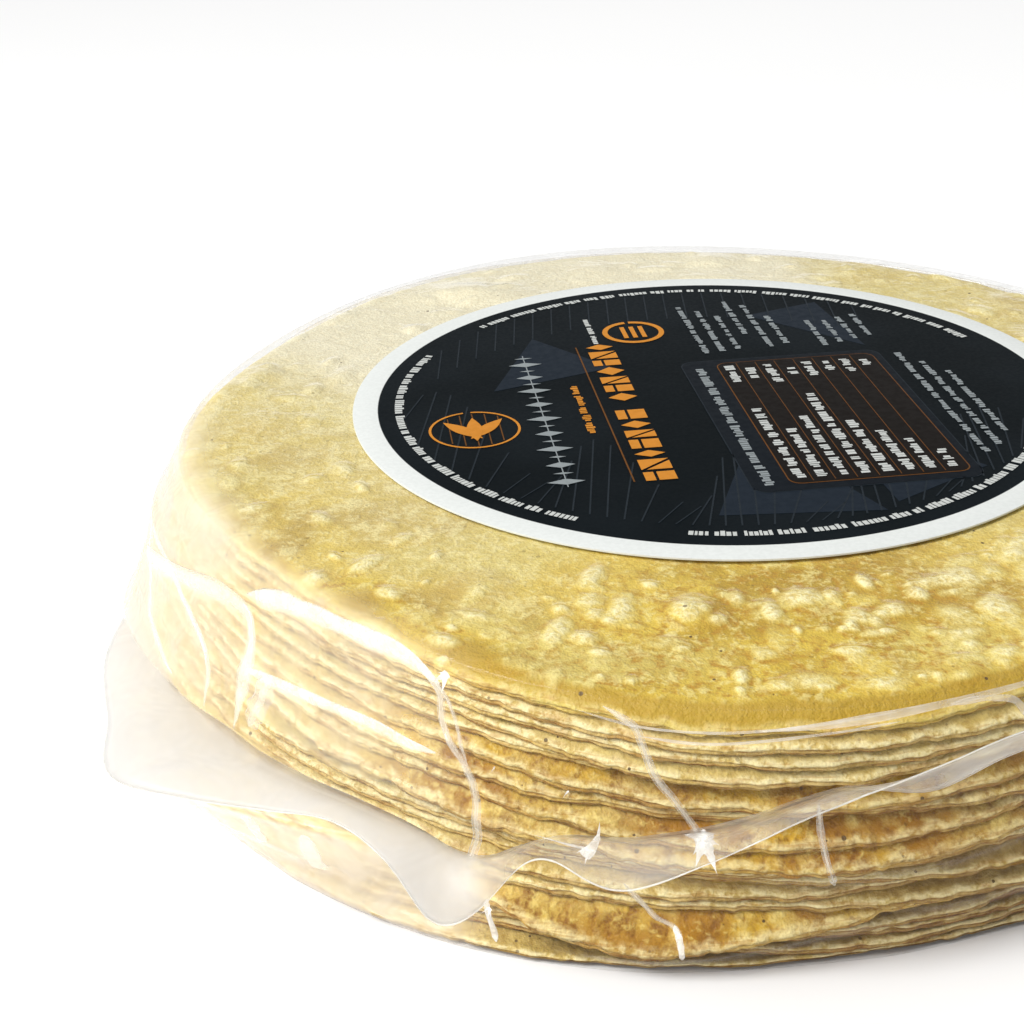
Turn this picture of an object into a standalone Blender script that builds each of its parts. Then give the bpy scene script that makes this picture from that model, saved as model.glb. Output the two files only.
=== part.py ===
# Stack of corn tortillas in a clear vacuum pack, with a round label on top.
# Metres, +Z up. The origin is on the flat underside, below the middle of the stack.
# The side that the label's lower edge faces looks towards -Y.
import math

import bpy
import numpy as np

MM = 0.001

# Stack
LAYERS = 20
THICKNESS = 1.25 * MM          # one tortilla
GAP = 0.30 * MM                # left between two neighbours
RIM_CLEARANCE = 0.80 * MM      # left outside a rim before the one above bends over it
PITCH = THICKNESS + GAP
RIM_THINNING = 0.8             # thickness of a rim against the middle

# Outlines: the lowest tortilla is the widest and lies further left and forward
BOTTOM_RADIUS = 76.4 * MM
BOTTOM_SHIFT = (2.2 * MM, -135.0)             # how far, and towards which angle in degrees
TOP_RADIUS = 73.2 * MM
TOP_WAVES = (                                 # waves round the rim, size, crest angle
    (1, 2.2 * MM, 24.0),
    (2, 1.8 * MM, -145.0),
    (3, 0.5 * MM, 26.0),
    (4, 1.0 * MM, -8.0),
    (5, 0.7 * MM, -140.0),
)
RIM_BUMPS = (                                 # first layer, last layer, angle, half width, size
    (0, 0, -118.0, 24.0, 0.5 * MM),
    (0, 0, -86.0, 40.0, -0.9 * MM),
    (0, 5, -76.0, 34.0, -1.6 * MM),
    (1, 4, -104.0, 25.0, -2.1 * MM),
    (5, 5, -105.0, 27.0, 2.3 * MM),
    (6, 10, -100.0, 40.0, -0.8 * MM),
    (11, 11, -98.0, 60.0, 1.1 * MM),
    (12, 12, -100.0, 60.0, 0.7 * MM),
    (13, 13, -105.0, 60.0, 0.4 * MM),
    (15, 15, -92.0, 50.0, -0.8 * MM),
    (5, 6, 60.0, 50.0, 1.5 * MM),
    (9, 9, 120.0, 45.0, 1.4 * MM),
    (14, 15, 20.0, 40.0, 1.1 * MM),
)
WANDER = 0.28 * MM                            # each rim's own waves
WANDER_WAVES = range(3, 8)
SLIP = 0.45 * MM                              # how far each tortilla slipped sideways
SEED = 41

# A rim that sticks out past the ones below bends down until it rests
BEND = 0.8                                    # steepest fall, height over reach
STEEP_BEND = {5: 1.6, 11: 1.3, 12: 1.1}       # rims that hang further
TWIST = 0.20                                  # steepest rise along the rim

# Blisters on the top tortilla, outside the label
BLISTERS = 26
BLISTER_ROUTE = (55.0 * MM, 70.0 * MM)        # nearest and furthest from the middle
BLISTER_RADIUS = (4.0 * MM, 8.0 * MM)
BLISTER_HEIGHT = (0.20 * MM, 0.55 * MM)

# Label
LABEL_RADIUS = 50.0 * MM
LABEL_THICKNESS = 0.30 * MM
LABEL_CENTRE = (1.6 * MM, 5.6 * MM)
LABEL_SIDES = 64

# Film skirt: the flat sealed rim of the pack, which leaves the side of the stack
SKIRT_THICKNESS = 0.40 * MM
SKIRT_CLEARANCE = 0.60 * MM
SKIRT_REACH_OF_LAYERS = 2.4 * MM              # layers this near in height keep the skirt off
SKIRT_CAMBER = 0.12                           # how far its middle rises, against its width
SKIRT_STATIONS = 120
SKIRT_ROUTE = (                               # angle, height at the stack, reach, rise (mm)
    (-178.0, 12.5, 2.4, 0.0),
    (-170.0, 12.0, 2.4, 0.0),
    (-161.0, 11.5, 6.8, -0.5),
    (-152.0, 11.0, 9.8, -0.5),
    (-143.5, 11.0, 14.4, -0.5),
    (-138.0, 11.0, 10.8, 0.0),
    (-132.0, 11.5, 6.6, 0.2),
    (-125.0, 12.0, 3.8, 0.5),
    (-119.5, 11.5, 4.6, -1.5),
    (-115.5, 10.5, 5.2, -4.8),
    (-112.5, 11.5, 3.6, -3.2),
    (-110.0, 14.2, 3.0, -0.6),
    (-102.0, 16.6, 4.8, -2.2),
    (-96.0, 18.4, 4.4, 0.2),
    (-91.0, 21.0, 3.8, 1.0),
    (-86.0, 22.8, 3.8, 1.8),
    (-80.0, 21.2, 3.6, 6.2),
    (-74.0, 23.2, 3.6, 5.8),
    (-64.0, 23.5, 4.0, 3.0),
    (-45.0, 20.0, 5.0, -1.5),
    (-25.0, 17.5, 4.5, -2.5),
    (0.0, 16.0, 5.5, 1.5),
    (22.0, 15.0, 4.5, 2.0),
    (45.0, 14.5, 6.0, -2.0),
    (68.0, 16.0, 4.8, -1.5),
    (90.0, 17.0, 5.2, 1.8),
    (112.0, 16.0, 5.0, -1.0),
    (132.0, 15.0, 5.6, -2.2),
    (150.0, 14.0, 4.6, 0.8),
    (168.0, 13.0, 3.0, 0.4),
)

# Mesh
SIDES = 60
RIM_RINGS = (7.0 * MM, 2.5 * MM, 0.0)                       # ring distances in from a rim
TOP_RINGS = (22.0 * MM, 17.5 * MM, 13.0 * MM, 9.0 * MM, 5.5 * MM, 2.5 * MM, 0.0)
GRID = np.arange(46.0 * MM, 92.0 * MM, 0.25 * MM)           # radii at which heights are kept
NEAREST_FIT = 1.0 * MM                                      # a facet is fitted from here outwards
FIT_PAST_END = 0.2 * MM                                     # and to here past its outer end
LOOK_PAST_RIM = 0.5 * MM                                    # support counts this far past a rim
NO_SUPPORT = -1.0                                           # height where nothing lies below
NO_RISE = -10.0                                             # slope where nothing lies ahead

# Colours (linear) and roughness
GOLD = (0.62, 0.41, 0.11)
CREAM = (0.78, 0.64, 0.36)
NAVY = (0.012, 0.018, 0.035)
FILM = (0.80, 0.78, 0.74)


def make_material(name, colour, roughness, metallic=0.0):
    material = bpy.data.materials.new(name)
    material.use_nodes = True
    shader = material.node_tree.nodes["Principled BSDF"]
    shader.inputs["Base Color"].default_value = (*colour, 1.0)
    shader.inputs["Roughness"].default_value = roughness
    shader.inputs["Metallic"].default_value = metallic
    material.diffuse_color = (*colour, 1.0)
    return material


def wave(angles, count, size, crest):
    return size * np.cos(count * angles - math.radians(crest))


def bump(angles, middle, half_width, size):
    # a smooth swelling that ends half_width degrees either side of its middle
    away = np.degrees(np.angle(np.exp(1j * (angles - math.radians(middle)))))
    inside = np.clip(np.abs(away) / half_width, 0.0, 1.0)
    return size * np.cos(inside * math.pi / 2.0) ** 2


def outline(layer, angles):
    """Distance of a tortilla's rim from the axis of the stack."""
    share = layer / (LAYERS - 1)
    shift, towards = BOTTOM_SHIFT
    bottom = BOTTOM_RADIUS + wave(angles, 1, shift, towards)
    top = TOP_RADIUS + sum(wave(angles, *entry) for entry in TOP_WAVES)
    rim = bottom + (top - bottom) * share
    for first, last, middle, half_width, size in RIM_BUMPS:
        if first <= layer <= last:
            rim = rim + bump(angles, middle, half_width, size)
    if 0 < layer < LAYERS - 1:
        draw = np.random.default_rng(SEED + layer)
        rim = rim + wave(angles, 1, SLIP * draw.uniform(0.2, 1.0), draw.uniform(0.0, 360.0))
        for count in WANDER_WAVES:
            size = WANDER * draw.uniform(0.3, 1.0)
            rim = rim + wave(angles, count, size, draw.uniform(0.0, 360.0))
    return rim


def envelope(needed, bend):
    """The lowest sheet over needed heights that bends no more than the limits."""
    reach = np.abs(GRID[:, None] - GRID[None, :]) * bend
    sheet = np.max(needed[:, None, :] - reach[None, :, :], axis=2)
    step = 2.0 * math.pi / SIDES * GRID * TWIST
    for _ in range(SIDES // 4):
        beside = np.maximum(np.roll(sheet, 1, axis=0), np.roll(sheet, -1, axis=0)) - step
        sheet = np.maximum(sheet, beside)
    return sheet


def along(radii, values, wanted):
    return np.array([np.interp(w, r, v) for w, r, v in zip(wanted, radii, values)])


def lay_down(support, layer, angles, insets):
    """Heights of one tortilla's underside at its rings, resting on what lies below."""
    rim = outline(layer, angles)
    radii = rim[:, None] - np.array(insets)[None, :]
    grid = np.tile(GRID, (len(angles), 1))
    needed = support + (GAP if layer else 0.0)
    covered = grid <= rim[:, None] + LOOK_PAST_RIM
    sheet = envelope(np.where(covered, needed, NO_SUPPORT), STEEP_BEND.get(layer, BEND))
    under = along(grid, sheet, radii)
    for ring in range(1, radii.shape[1]):
        inner = radii[:, ring - 1, None]
        outer = radii[:, ring, None]
        ahead = covered & (grid > inner + NEAREST_FIT) & (grid < outer + FIT_PAST_END)
        rises = (needed - under[:, ring - 1, None]) / np.where(ahead, grid - inner, 1.0)
        steepest = np.max(np.where(ahead, rises, NO_RISE), axis=1)
        reached = under[:, ring - 1] + steepest * (outer - inner)[:, 0]
        under[:, ring] = np.maximum(under[:, ring], reached)
    return radii, under


def stack_layers(angles):
    """Rings, undersides and tops of every tortilla, lowest first."""
    support = np.zeros((len(angles), len(GRID)))
    grid = np.tile(GRID, (len(angles), 1))
    layers = []
    for layer in range(LAYERS):
        insets = TOP_RINGS if layer == LAYERS - 1 else RIM_RINGS
        radii, under = lay_down(support, layer, angles, insets)
        thickness = np.full(radii.shape, THICKNESS)
        thickness[:, -1] *= RIM_THINNING
        over = under + thickness
        for turn in (0, 1, -1):               # here, and half way to either neighbour
            near_radii = (radii + np.roll(radii, turn, axis=0)) / 2
            near_over = (over + np.roll(over, turn, axis=0)) / 2
            covered = grid <= near_radii[:, -1:] + RIM_CLEARANCE
            raised = np.where(covered, along(near_radii, near_over, grid), 0.0)
            support = np.maximum(support, raised)
        layers.append((radii, under, over))
    return layers


def blister_relief(x, y):
    """Height that the blisters add at a place on the top tortilla."""
    draw = np.random.default_rng(SEED)
    height = np.zeros_like(x)
    for _ in range(BLISTERS):
        angle = draw.uniform(0.0, 2.0 * math.pi)
        away = draw.uniform(*BLISTER_ROUTE)
        radius = draw.uniform(*BLISTER_RADIUS)
        size = draw.uniform(*BLISTER_HEIGHT)
        distance = np.hypot(x - away * math.cos(angle), y - away * math.sin(angle))
        height += size * np.clip(1.0 - (distance / radius) ** 2, 0.0, 1.0) ** 2
    return height


def fan(centre, ring, upward):
    count = len(ring)
    pairs = [(ring[i], ring[(i + 1) % count]) for i in range(count)]
    return [(centre, a, b) if upward else (centre, b, a) for a, b in pairs]


def band(inner, outer, upward):
    """Triangles between two rings of vertices, seen from above when upward is set."""
    count = len(inner)
    faces = []
    for i in range(count):
        j = (i + 1) % count
        pair = [(inner[i], outer[i], outer[j]), (inner[i], outer[j], inner[j])]
        faces += pair if upward else [(a, c, b) for a, b, c in pair]
    return faces


def make_object(name, points, faces, material):
    mesh = bpy.data.meshes.new(name)
    mesh.from_pydata([tuple(p) for p in points], [], faces)
    mesh.validate()
    mesh.shade_smooth()
    mesh.set_sharp_from_angle(angle=math.radians(40.0))
    mesh.materials.append(material)
    item = bpy.data.objects.new(name, mesh)
    bpy.context.scene.collection.objects.link(item)
    return item


def disc(name, angles, radii, under, over, centre, material):
    """A closed round sheet: rings of points below and above, joined at the rim."""
    count, rings = radii.shape
    x = radii * np.cos(angles)[:, None] + centre[0]
    y = radii * np.sin(angles)[:, None] + centre[1]
    points = [(centre[0], centre[1], float(under[:, 0].mean()))]
    points += [(x[i, k], y[i, k], under[i, k]) for k in range(rings) for i in range(count)]
    points += [(centre[0], centre[1], float(over[:, 0].mean()))]
    points += [(x[i, k], y[i, k], over[i, k]) for k in range(rings) for i in range(count)]
    lower = [[1 + k * count + i for i in range(count)] for k in range(rings)]
    first_upper = 1 + rings * count
    upper = [[first_upper + 1 + k * count + i for i in range(count)] for k in range(rings)]
    faces = fan(0, lower[0], False) + fan(first_upper, upper[0], True)
    for k in range(rings - 1):
        faces += band(lower[k], lower[k + 1], False)
        faces += band(upper[k], upper[k + 1], True)
    faces += band(upper[-1], lower[-1], True)
    return make_object(name, points, faces, material)


def build_tortillas(angles, layers):
    gold = make_material("toasted_corn", GOLD, 0.7)
    cream = make_material("pale_corn", CREAM, 0.8)
    for layer, (radii, under, over) in enumerate(layers):
        top_one = layer == LAYERS - 1
        if top_one:
            x = radii * np.cos(angles)[:, None]
            y = radii * np.sin(angles)[:, None]
            relief = blister_relief(x, y)
            relief[:, 0] = 0.0
            over = over + relief
        name = f"tortilla_{layer + 1:02d}"
        disc(name, angles, radii, under, over, (0.0, 0.0), gold if top_one else cream)


def build_label(top_height):
    angles = np.linspace(-math.pi, math.pi, LABEL_SIDES, endpoint=False)
    radii = np.full((LABEL_SIDES, 1), LABEL_RADIUS)
    under = np.full((LABEL_SIDES, 1), top_height + GAP)
    material = make_material("label_print", NAVY, 0.35)
    disc("label", angles, radii, under, under + LABEL_THICKNESS, LABEL_CENTRE, material)


def route_at(angles, column):
    """A value of the skirt's route at any angle, on a smooth curve through its points."""
    stops = np.array([entry[0] for entry in SKIRT_ROUTE])
    values = np.array([entry[column] for entry in SKIRT_ROUTE]) * MM
    stops = np.concatenate([stops - 360.0, stops, stops + 360.0])
    values = np.tile(values, 3)
    slopes = np.gradient(values, stops)
    wanted = (np.degrees(angles) + 180.0) % 360.0 - 180.0
    i = np.searchsorted(stops, wanted, side="right") - 1
    span = stops[i + 1] - stops[i]
    t = (wanted - stops[i]) / span
    start, end = values[i], values[i + 1]
    return (
        start * (2 * t**3 - 3 * t**2 + 1)
        + end * (3 * t**2 - 2 * t**3)
        + slopes[i] * span * (t**3 - 2 * t**2 + t)
        + slopes[i + 1] * span * (t**3 - t**2)
    )


def skirt_root(angles, height):
    """Radius at which the skirt leaves the stack: clear of the layers near its height."""
    middles = PITCH * (np.arange(LAYERS) + 0.5)
    rims = np.array([outline(layer, angles) for layer in range(LAYERS)])
    near = np.abs(middles[:, None] - height[None, :]) < SKIRT_REACH_OF_LAYERS
    return np.max(np.where(near, rims, 0.0), axis=0) + SKIRT_CLEARANCE


def build_skirt():
    angles = np.linspace(-math.pi, math.pi, SKIRT_STATIONS, endpoint=False)
    height = route_at(angles, 1)
    reach = route_at(angles, 2)
    rise = route_at(angles, 3)
    root = skirt_root(angles, height)
    across = np.array([0.0, 0.5, 1.0])
    radii = root[:, None] + reach[:, None] * across
    camber = 4.0 * across * (1.0 - across) * SKIRT_CAMBER
    middle = height[:, None] + rise[:, None] * across + reach[:, None] * camber
    x = radii * np.cos(angles)[:, None]
    y = radii * np.sin(angles)[:, None]
    points = []
    for side in (-0.5, 0.5):
        z = middle + side * SKIRT_THICKNESS
        points += [(x[i, k], y[i, k], z[i, k]) for k in range(3) for i in range(SKIRT_STATIONS)]
    rings = [[k * SKIRT_STATIONS + i for i in range(SKIRT_STATIONS)] for k in range(6)]
    faces = band(rings[0], rings[1], False) + band(rings[1], rings[2], False)
    faces += band(rings[3], rings[4], True) + band(rings[4], rings[5], True)
    faces += band(rings[5], rings[2], True) + band(rings[0], rings[3], True)
    make_object("film_skirt", points, faces, make_material("clear_film", FILM, 0.15))


def main():
    for item in list(bpy.data.objects):
        bpy.data.objects.remove(item, do_unlink=True)
    angles = np.linspace(-math.pi, math.pi, SIDES, endpoint=False)
    layers = stack_layers(angles)
    build_tortillas(angles, layers)
    build_label(float(layers[-1][2][:, 0].mean()))
    build_skirt()


main()
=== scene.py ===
# Corn tortillas in a clear vacuum pack with a round label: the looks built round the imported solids.
# Lengths are in metres. Angles run round the stack, and -90 degrees faces the camera.
import math

import bpy
import numpy as np
from mathutils import Matrix


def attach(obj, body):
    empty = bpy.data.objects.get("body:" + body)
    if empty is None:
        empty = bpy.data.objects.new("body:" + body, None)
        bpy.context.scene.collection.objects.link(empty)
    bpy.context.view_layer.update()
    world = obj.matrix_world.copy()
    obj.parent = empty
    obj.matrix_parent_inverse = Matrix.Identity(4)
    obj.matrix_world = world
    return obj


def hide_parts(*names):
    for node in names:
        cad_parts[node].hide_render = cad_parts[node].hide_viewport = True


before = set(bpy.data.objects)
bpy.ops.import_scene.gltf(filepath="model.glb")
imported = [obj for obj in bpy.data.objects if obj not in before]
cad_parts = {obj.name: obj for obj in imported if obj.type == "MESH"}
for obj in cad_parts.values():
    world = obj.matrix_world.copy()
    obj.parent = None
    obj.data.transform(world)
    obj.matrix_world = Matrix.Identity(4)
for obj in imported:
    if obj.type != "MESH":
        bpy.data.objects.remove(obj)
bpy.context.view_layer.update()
print("packed solids loaded:", len(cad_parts))

scene = bpy.context.scene
mm = 0.001


# shared curves and noise

def unit(values):
    return np.clip(values, 0.0, 1.0)


def bell(values, middle, width):
    # 1 at its middle and fading to both sides: exp(-((v - middle) / width)^2)
    return np.exp(-((values - middle) / width) ** 2)


def latticeNoise(x, y, z, seed):
    # random numbers on a cubic lattice, eased smoothly from one lattice point to the next, -1 to 1
    size = 48
    table = np.random.default_rng(seed).uniform(-1.0, 1.0, (size, size, size))
    total = 0.0
    cell = [np.floor(v) for v in (x, y, z)]
    part = [v - c for v, c in zip((x, y, z), cell)]
    ease = [p * p * (3.0 - 2.0 * p) for p in part]
    cell = [c.astype(int) for c in cell]
    for i in (0, 1):
        for j in (0, 1):
            for k in (0, 1):
                weight = (ease[0] if i else 1 - ease[0]) * (ease[1] if j else 1 - ease[1])
                weight = weight * (ease[2] if k else 1 - ease[2])
                corner = ((cell[0] + i) % size, (cell[1] + j) % size, (cell[2] + k) % size)
                total = total + weight * table[corner]
    return total


def layeredNoise(x, y, z, grain, seed, octaves=4):
    # noise at a grain size plus ever finer noise at half the strength each time
    total, strength, sums = 0.0, 1.0, 0.0
    for octave in range(octaves):
        scale = 2.0 ** octave / grain
        total = total + strength * latticeNoise(x * scale, y * scale, z * scale, seed + octave)
        sums += strength
        strength *= 0.5
    return total / sums


def ringNoise(angles, count, height, seed, octaves=3):
    # noise that closes on itself round the stack: about count swellings in one turn
    reach, away = count / (2.0 * math.pi), 9.0
    x, y = reach * np.cos(angles) + away, reach * np.sin(angles) + away
    return layeredNoise(x, y, height + 0.0 * angles, 1.0, seed, octaves)


def cubicThrough(stops, values, slopes, wanted):
    # a smooth cubic curve through the stops, read at the wanted places
    i = np.clip(np.searchsorted(stops, wanted, side="right") - 1, 0, len(stops) - 2)
    span = stops[i + 1] - stops[i]
    t = (wanted - stops[i]) / span
    if values.ndim > 1:
        span, t = span[:, None], t[:, None]
    curve = values[i] * (2 * t**3 - 3 * t**2 + 1) + values[i + 1] * (3 * t**2 - 2 * t**3)
    return curve + slopes[i] * span * (t**3 - 2 * t**2 + t) + slopes[i + 1] * span * (t**3 - t**2)


# meshes

def showPiece(name, mesh):
    piece = bpy.data.objects.new(name, mesh)
    scene.collection.objects.link(piece)
    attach(piece, "root")
    return piece


def makePiece(name, points, quads, triangles, material):
    # vertices and faces put in as whole arrays
    points = np.asarray(points, float).reshape(-1, 3)
    quads = np.asarray(quads, int).reshape(-1, 4)
    triangles = np.asarray(triangles, int).reshape(-1, 3)
    mesh = bpy.data.meshes.new(name)
    mesh.vertices.add(len(points))
    mesh.vertices.foreach_set("co", points.ravel())
    mesh.loops.add(quads.size + triangles.size)
    mesh.loops.foreach_set("vertex_index", np.concatenate([quads.ravel(), triangles.ravel()]))
    mesh.polygons.add(len(quads) + len(triangles))
    starts = np.concatenate([np.arange(len(quads)) * 4, quads.size + np.arange(len(triangles)) * 3])
    mesh.polygons.foreach_set("loop_start", starts)
    mesh.update(calc_edges=True)
    mesh.validate()
    mesh.shade_smooth()
    mesh.materials.append(material)
    return showPiece(name, mesh)


def setAttribute(piece, name, values):
    layer = piece.data.attributes.new(name, "FLOAT", "POINT")
    layer.data.foreach_set("value", np.asarray(values, np.float32).ravel())


def ringPoints(radii, angles, heights):
    # points at a radius, an angle and a height, whose arrays broadcast together
    x, y = radii * np.cos(angles), radii * np.sin(angles)
    return np.stack([x, y, np.broadcast_to(heights, x.shape)], -1)


def ringQuads(rows, columns):
    # faces between neighbouring rings of points, each ring closed on itself
    r, c = np.meshgrid(np.arange(rows - 1), np.arange(columns), indexing="ij")
    n = (c + 1) % columns
    quads = np.stack([r * columns + c, (r + 1) * columns + c, (r + 1) * columns + n, r * columns + n], -1)
    return quads.reshape(-1, 4)


def closedRings(rows):
    # rings of points whose last ring meets the first, such as a band with two faces
    count, columns = rows.shape[:2]
    return rows.reshape(-1, 3), ringQuads(count + 1, columns) % (count * columns), np.zeros((0, 3), int)


def cappedRings(rows):
    # rings of points and a middle point at each end: points, quads and the two fans
    count, columns = rows.shape[:2]
    points = np.concatenate([rows.reshape(-1, 3), rows[0].mean(0)[None], rows[-1].mean(0)[None]])
    c = np.arange(columns)
    n = (c + 1) % columns
    top, last = count * columns, (count - 1) * columns
    fans = np.concatenate([
        np.stack([np.full(columns, top), c, n], -1),
        np.stack([np.full(columns, top + 1), last + n, last + c], -1),
    ])
    return points, ringQuads(count, columns), fans


def joinParts(parts):
    # several point and face lists as one
    points, quads, triangles, first = [], [], [], 0
    for p, q, t in parts:
        points.append(p)
        quads.append(q + first)
        triangles.append(t + first)
        first += len(p)
    return np.concatenate(points), np.concatenate(quads), np.concatenate(triangles)


class shaderSheet:
    # short names for the nodes that the finishes below use

    def __init__(self, name):
        self.material = bpy.data.materials.new(name)
        self.material.use_nodes = True
        self.tree = self.material.node_tree
        self.tree.nodes.clear()
        self.output = self.tree.nodes.new("ShaderNodeOutputMaterial")
        self.place = self.node("ShaderNodeTexCoord").outputs["Object"]

    def node(self, kind, **values):
        made = self.tree.nodes.new(kind)
        for key, value in values.items():
            setattr(made, key, value)
        return made

    def put(self, value, socket):
        if isinstance(value, bpy.types.NodeSocket):
            self.tree.links.new(value, socket)
        elif isinstance(value, tuple) and len(value) == 3 and socket.type == "RGBA":
            socket.default_value = (*value, 1.0)
        elif value is not None:
            socket.default_value = value

    def shader(self, kind, **values):
        made = self.node(kind)
        for key, value in values.items():
            self.put(value, made.inputs[key])
        return made.outputs[0]

    def math(self, operation, first, second=None, clamp=False):
        made = self.node("ShaderNodeMath", operation=operation, use_clamp=clamp)
        self.put(first, made.inputs[0])
        self.put(second, made.inputs[1])
        return made.outputs[0]

    def plus(self, first, second, clamp=False):
        return self.math("ADD", first, second, clamp)

    def times(self, first, second, clamp=False):
        return self.math("MULTIPLY", first, second, clamp)

    def opposite(self, value):
        return self.math("SUBTRACT", 1.0, value)

    def ramp(self, value, low, high, outLow=0.0, outHigh=1.0):
        made = self.node("ShaderNodeMapRange", interpolation_type="SMOOTHSTEP")
        entries = {"Value": value, "From Min": low, "From Max": high, "To Min": outLow, "To Max": outHigh}
        for socket, entry in entries.items():
            self.put(entry, made.inputs[socket])
        return made.outputs[0]

    def mix(self, factor, first, second, blend="MIX"):
        made = self.node("ShaderNodeMix", data_type="RGBA", blend_type=blend)
        self.put(factor, made.inputs[0])
        self.put(first, made.inputs[6])
        self.put(second, made.inputs[7])
        return made.outputs[2]

    def tintBy(self, factor, colour, tint):
        # the colour multiplied by a tint where the factor is 1
        return self.mix(factor, colour, self.mix(1.0, colour, tint, "MULTIPLY"))

    def blend(self, factor, first, second):
        made = self.node("ShaderNodeMixShader")
        for socket, value in zip(made.inputs, (factor, first, second)):
            self.put(value, socket)
        return made.outputs[0]

    def stretch(self, scale=(1.0, 1.0, 1.0), shift=(0.0, 0.0, 0.0)):
        made = self.node("ShaderNodeMapping")
        self.put(self.place, made.inputs["Vector"])
        made.inputs["Scale"].default_value = scale
        made.inputs["Location"].default_value = shift
        return made.outputs[0]

    def noise(self, grain, detail=4.0, roughness=0.55, distortion=0.0, place=None):
        made = self.node("ShaderNodeTexNoise")
        self.put(place or self.place, made.inputs["Vector"])
        made.inputs["Scale"].default_value = 1.0 / grain
        made.inputs["Detail"].default_value = detail
        made.inputs["Roughness"].default_value = roughness
        made.inputs["Distortion"].default_value = distortion
        return made.outputs[0]

    def streaks(self, wide, high):
        # noise of one grain size sideways and another upwards
        return self.noise(1.0, 2.0, 0.6, 0.2, self.stretch(scale=(1.0 / wide, 1.0 / wide, 1.0 / high)))

    def cells(self, grain):
        # distance to the middle of each cell, and three random numbers of the cell
        made = self.node("ShaderNodeTexVoronoi")
        self.put(self.place, made.inputs["Vector"])
        made.inputs["Scale"].default_value = 1.0 / grain
        numbers = self.node("ShaderNodeSeparateColor")
        self.put(made.outputs["Color"], numbers.inputs[0])
        return made.outputs["Distance"], list(numbers.outputs)

    def attribute(self, name):
        return self.node("ShaderNodeAttribute", attribute_name=name).outputs["Fac"]

    def bump(self, height, strength, distance, after=None):
        made = self.node("ShaderNodeBump")
        made.inputs["Strength"].default_value = strength
        made.inputs["Distance"].default_value = distance
        self.put(height, made.inputs["Height"])
        self.put(after, made.inputs["Normal"])
        return made.outputs[0]

    def finish(self, surface):
        self.tree.links.new(surface, self.output.inputs["Surface"])
        return self.material


# the stack's shape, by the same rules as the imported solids

stackShape = {
    "layers": 20,
    "pitch": 1.55 * mm,
    "thickness": 1.25 * mm,
    "rimThinning": 0.8,
    "rimWidth": 2.5 * mm,
    "gap": 0.30 * mm,
    "rimClearance": 0.80 * mm,
    "bottomRadius": 76.4 * mm,
    "bottomShift": (2.2 * mm, -135.0),
    "topRadius": 73.2 * mm,
    "topWaves": ((1, 2.2, 24.0), (2, 1.8, -145.0), (3, 0.5, 26.0), (4, 1.0, -8.0), (5, 0.7, -140.0)),
    # first tortilla, last tortilla (0 is the lowest), angle, half width, millimetres outwards
    "rimBumps": (
        (0, 0, -118.0, 24.0, 0.5), (0, 0, -86.0, 40.0, -0.9), (0, 5, -76.0, 34.0, -1.6),
        (1, 4, -104.0, 25.0, -2.1), (5, 5, -105.0, 27.0, 2.3), (6, 10, -100.0, 40.0, -0.8),
        (11, 11, -98.0, 60.0, 1.1), (12, 12, -100.0, 60.0, 0.7), (13, 13, -105.0, 60.0, 0.4),
        (15, 15, -92.0, 50.0, -0.8), (5, 6, 60.0, 50.0, 1.5), (9, 9, 120.0, 45.0, 1.4),
        (14, 15, 20.0, 40.0, 1.1),
    ),
    "wander": 0.28 * mm,
    "slip": 0.45 * mm,
    "seed": 41,
    "bend": 0.8,
    "steepBend": {5: 1.6, 11: 1.3, 12: 1.1},
    "twist": 0.20,
    "blisters": 26,
    "blisterRoute": (55.0 * mm, 70.0 * mm),
    "blisterRadius": (4.0 * mm, 8.0 * mm),
    "blisterHeight": (0.20 * mm, 0.55 * mm),
}

topLayer = stackShape["layers"] - 1
evenAngles = np.linspace(-math.pi, math.pi, 720, endpoint=False)
radiusStep = 0.25 * mm
radiusGrid = np.arange(46.0 * mm, 92.0 * mm, radiusStep)


def waveRound(angles, count, size, crest):
    return size * np.cos(count * angles - math.radians(crest))


def swelling(angles, middle, halfWidth, size):
    # a cosine-squared swelling that ends halfWidth degrees either side of its middle
    away = np.degrees(np.angle(np.exp(1j * (angles - math.radians(middle)))))
    return size * np.cos(unit(np.abs(away) / halfWidth) * math.pi / 2.0) ** 2


def rimRadius(layer, angles):
    # bottom outline eased into the top outline, plus swellings, a small slip and the rim's own waves
    s = stackShape
    share = layer / topLayer
    bottom = s["bottomRadius"] + waveRound(angles, 1, *s["bottomShift"])
    top = s["topRadius"] + sum(waveRound(angles, n, size * mm, crest) for n, size, crest in s["topWaves"])
    rim = bottom + (top - bottom) * share
    for first, last, middle, halfWidth, size in s["rimBumps"]:
        if first <= layer <= last:
            rim = rim + swelling(angles, middle, halfWidth, size * mm)
    if 0 < layer < topLayer:
        draw = np.random.default_rng(s["seed"] + layer)
        rim = rim + waveRound(angles, 1, s["slip"] * draw.uniform(0.2, 1.0), draw.uniform(0.0, 360.0))
        for count in range(3, 8):
            size = s["wander"] * draw.uniform(0.3, 1.0)
            rim = rim + waveRound(angles, count, size, draw.uniform(0.0, 360.0))
    return rim


def raisedOutwards(values, step):
    # the lowest surface over values whose slope along the radius is never steeper than step per sample
    ramp = np.arange(values.shape[1])[None, :] * step
    forward = np.maximum.accumulate(values + ramp, axis=1) - ramp
    back = np.maximum.accumulate((values - ramp)[:, ::-1], axis=1)[:, ::-1] + ramp
    return np.maximum(forward, back)


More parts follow.
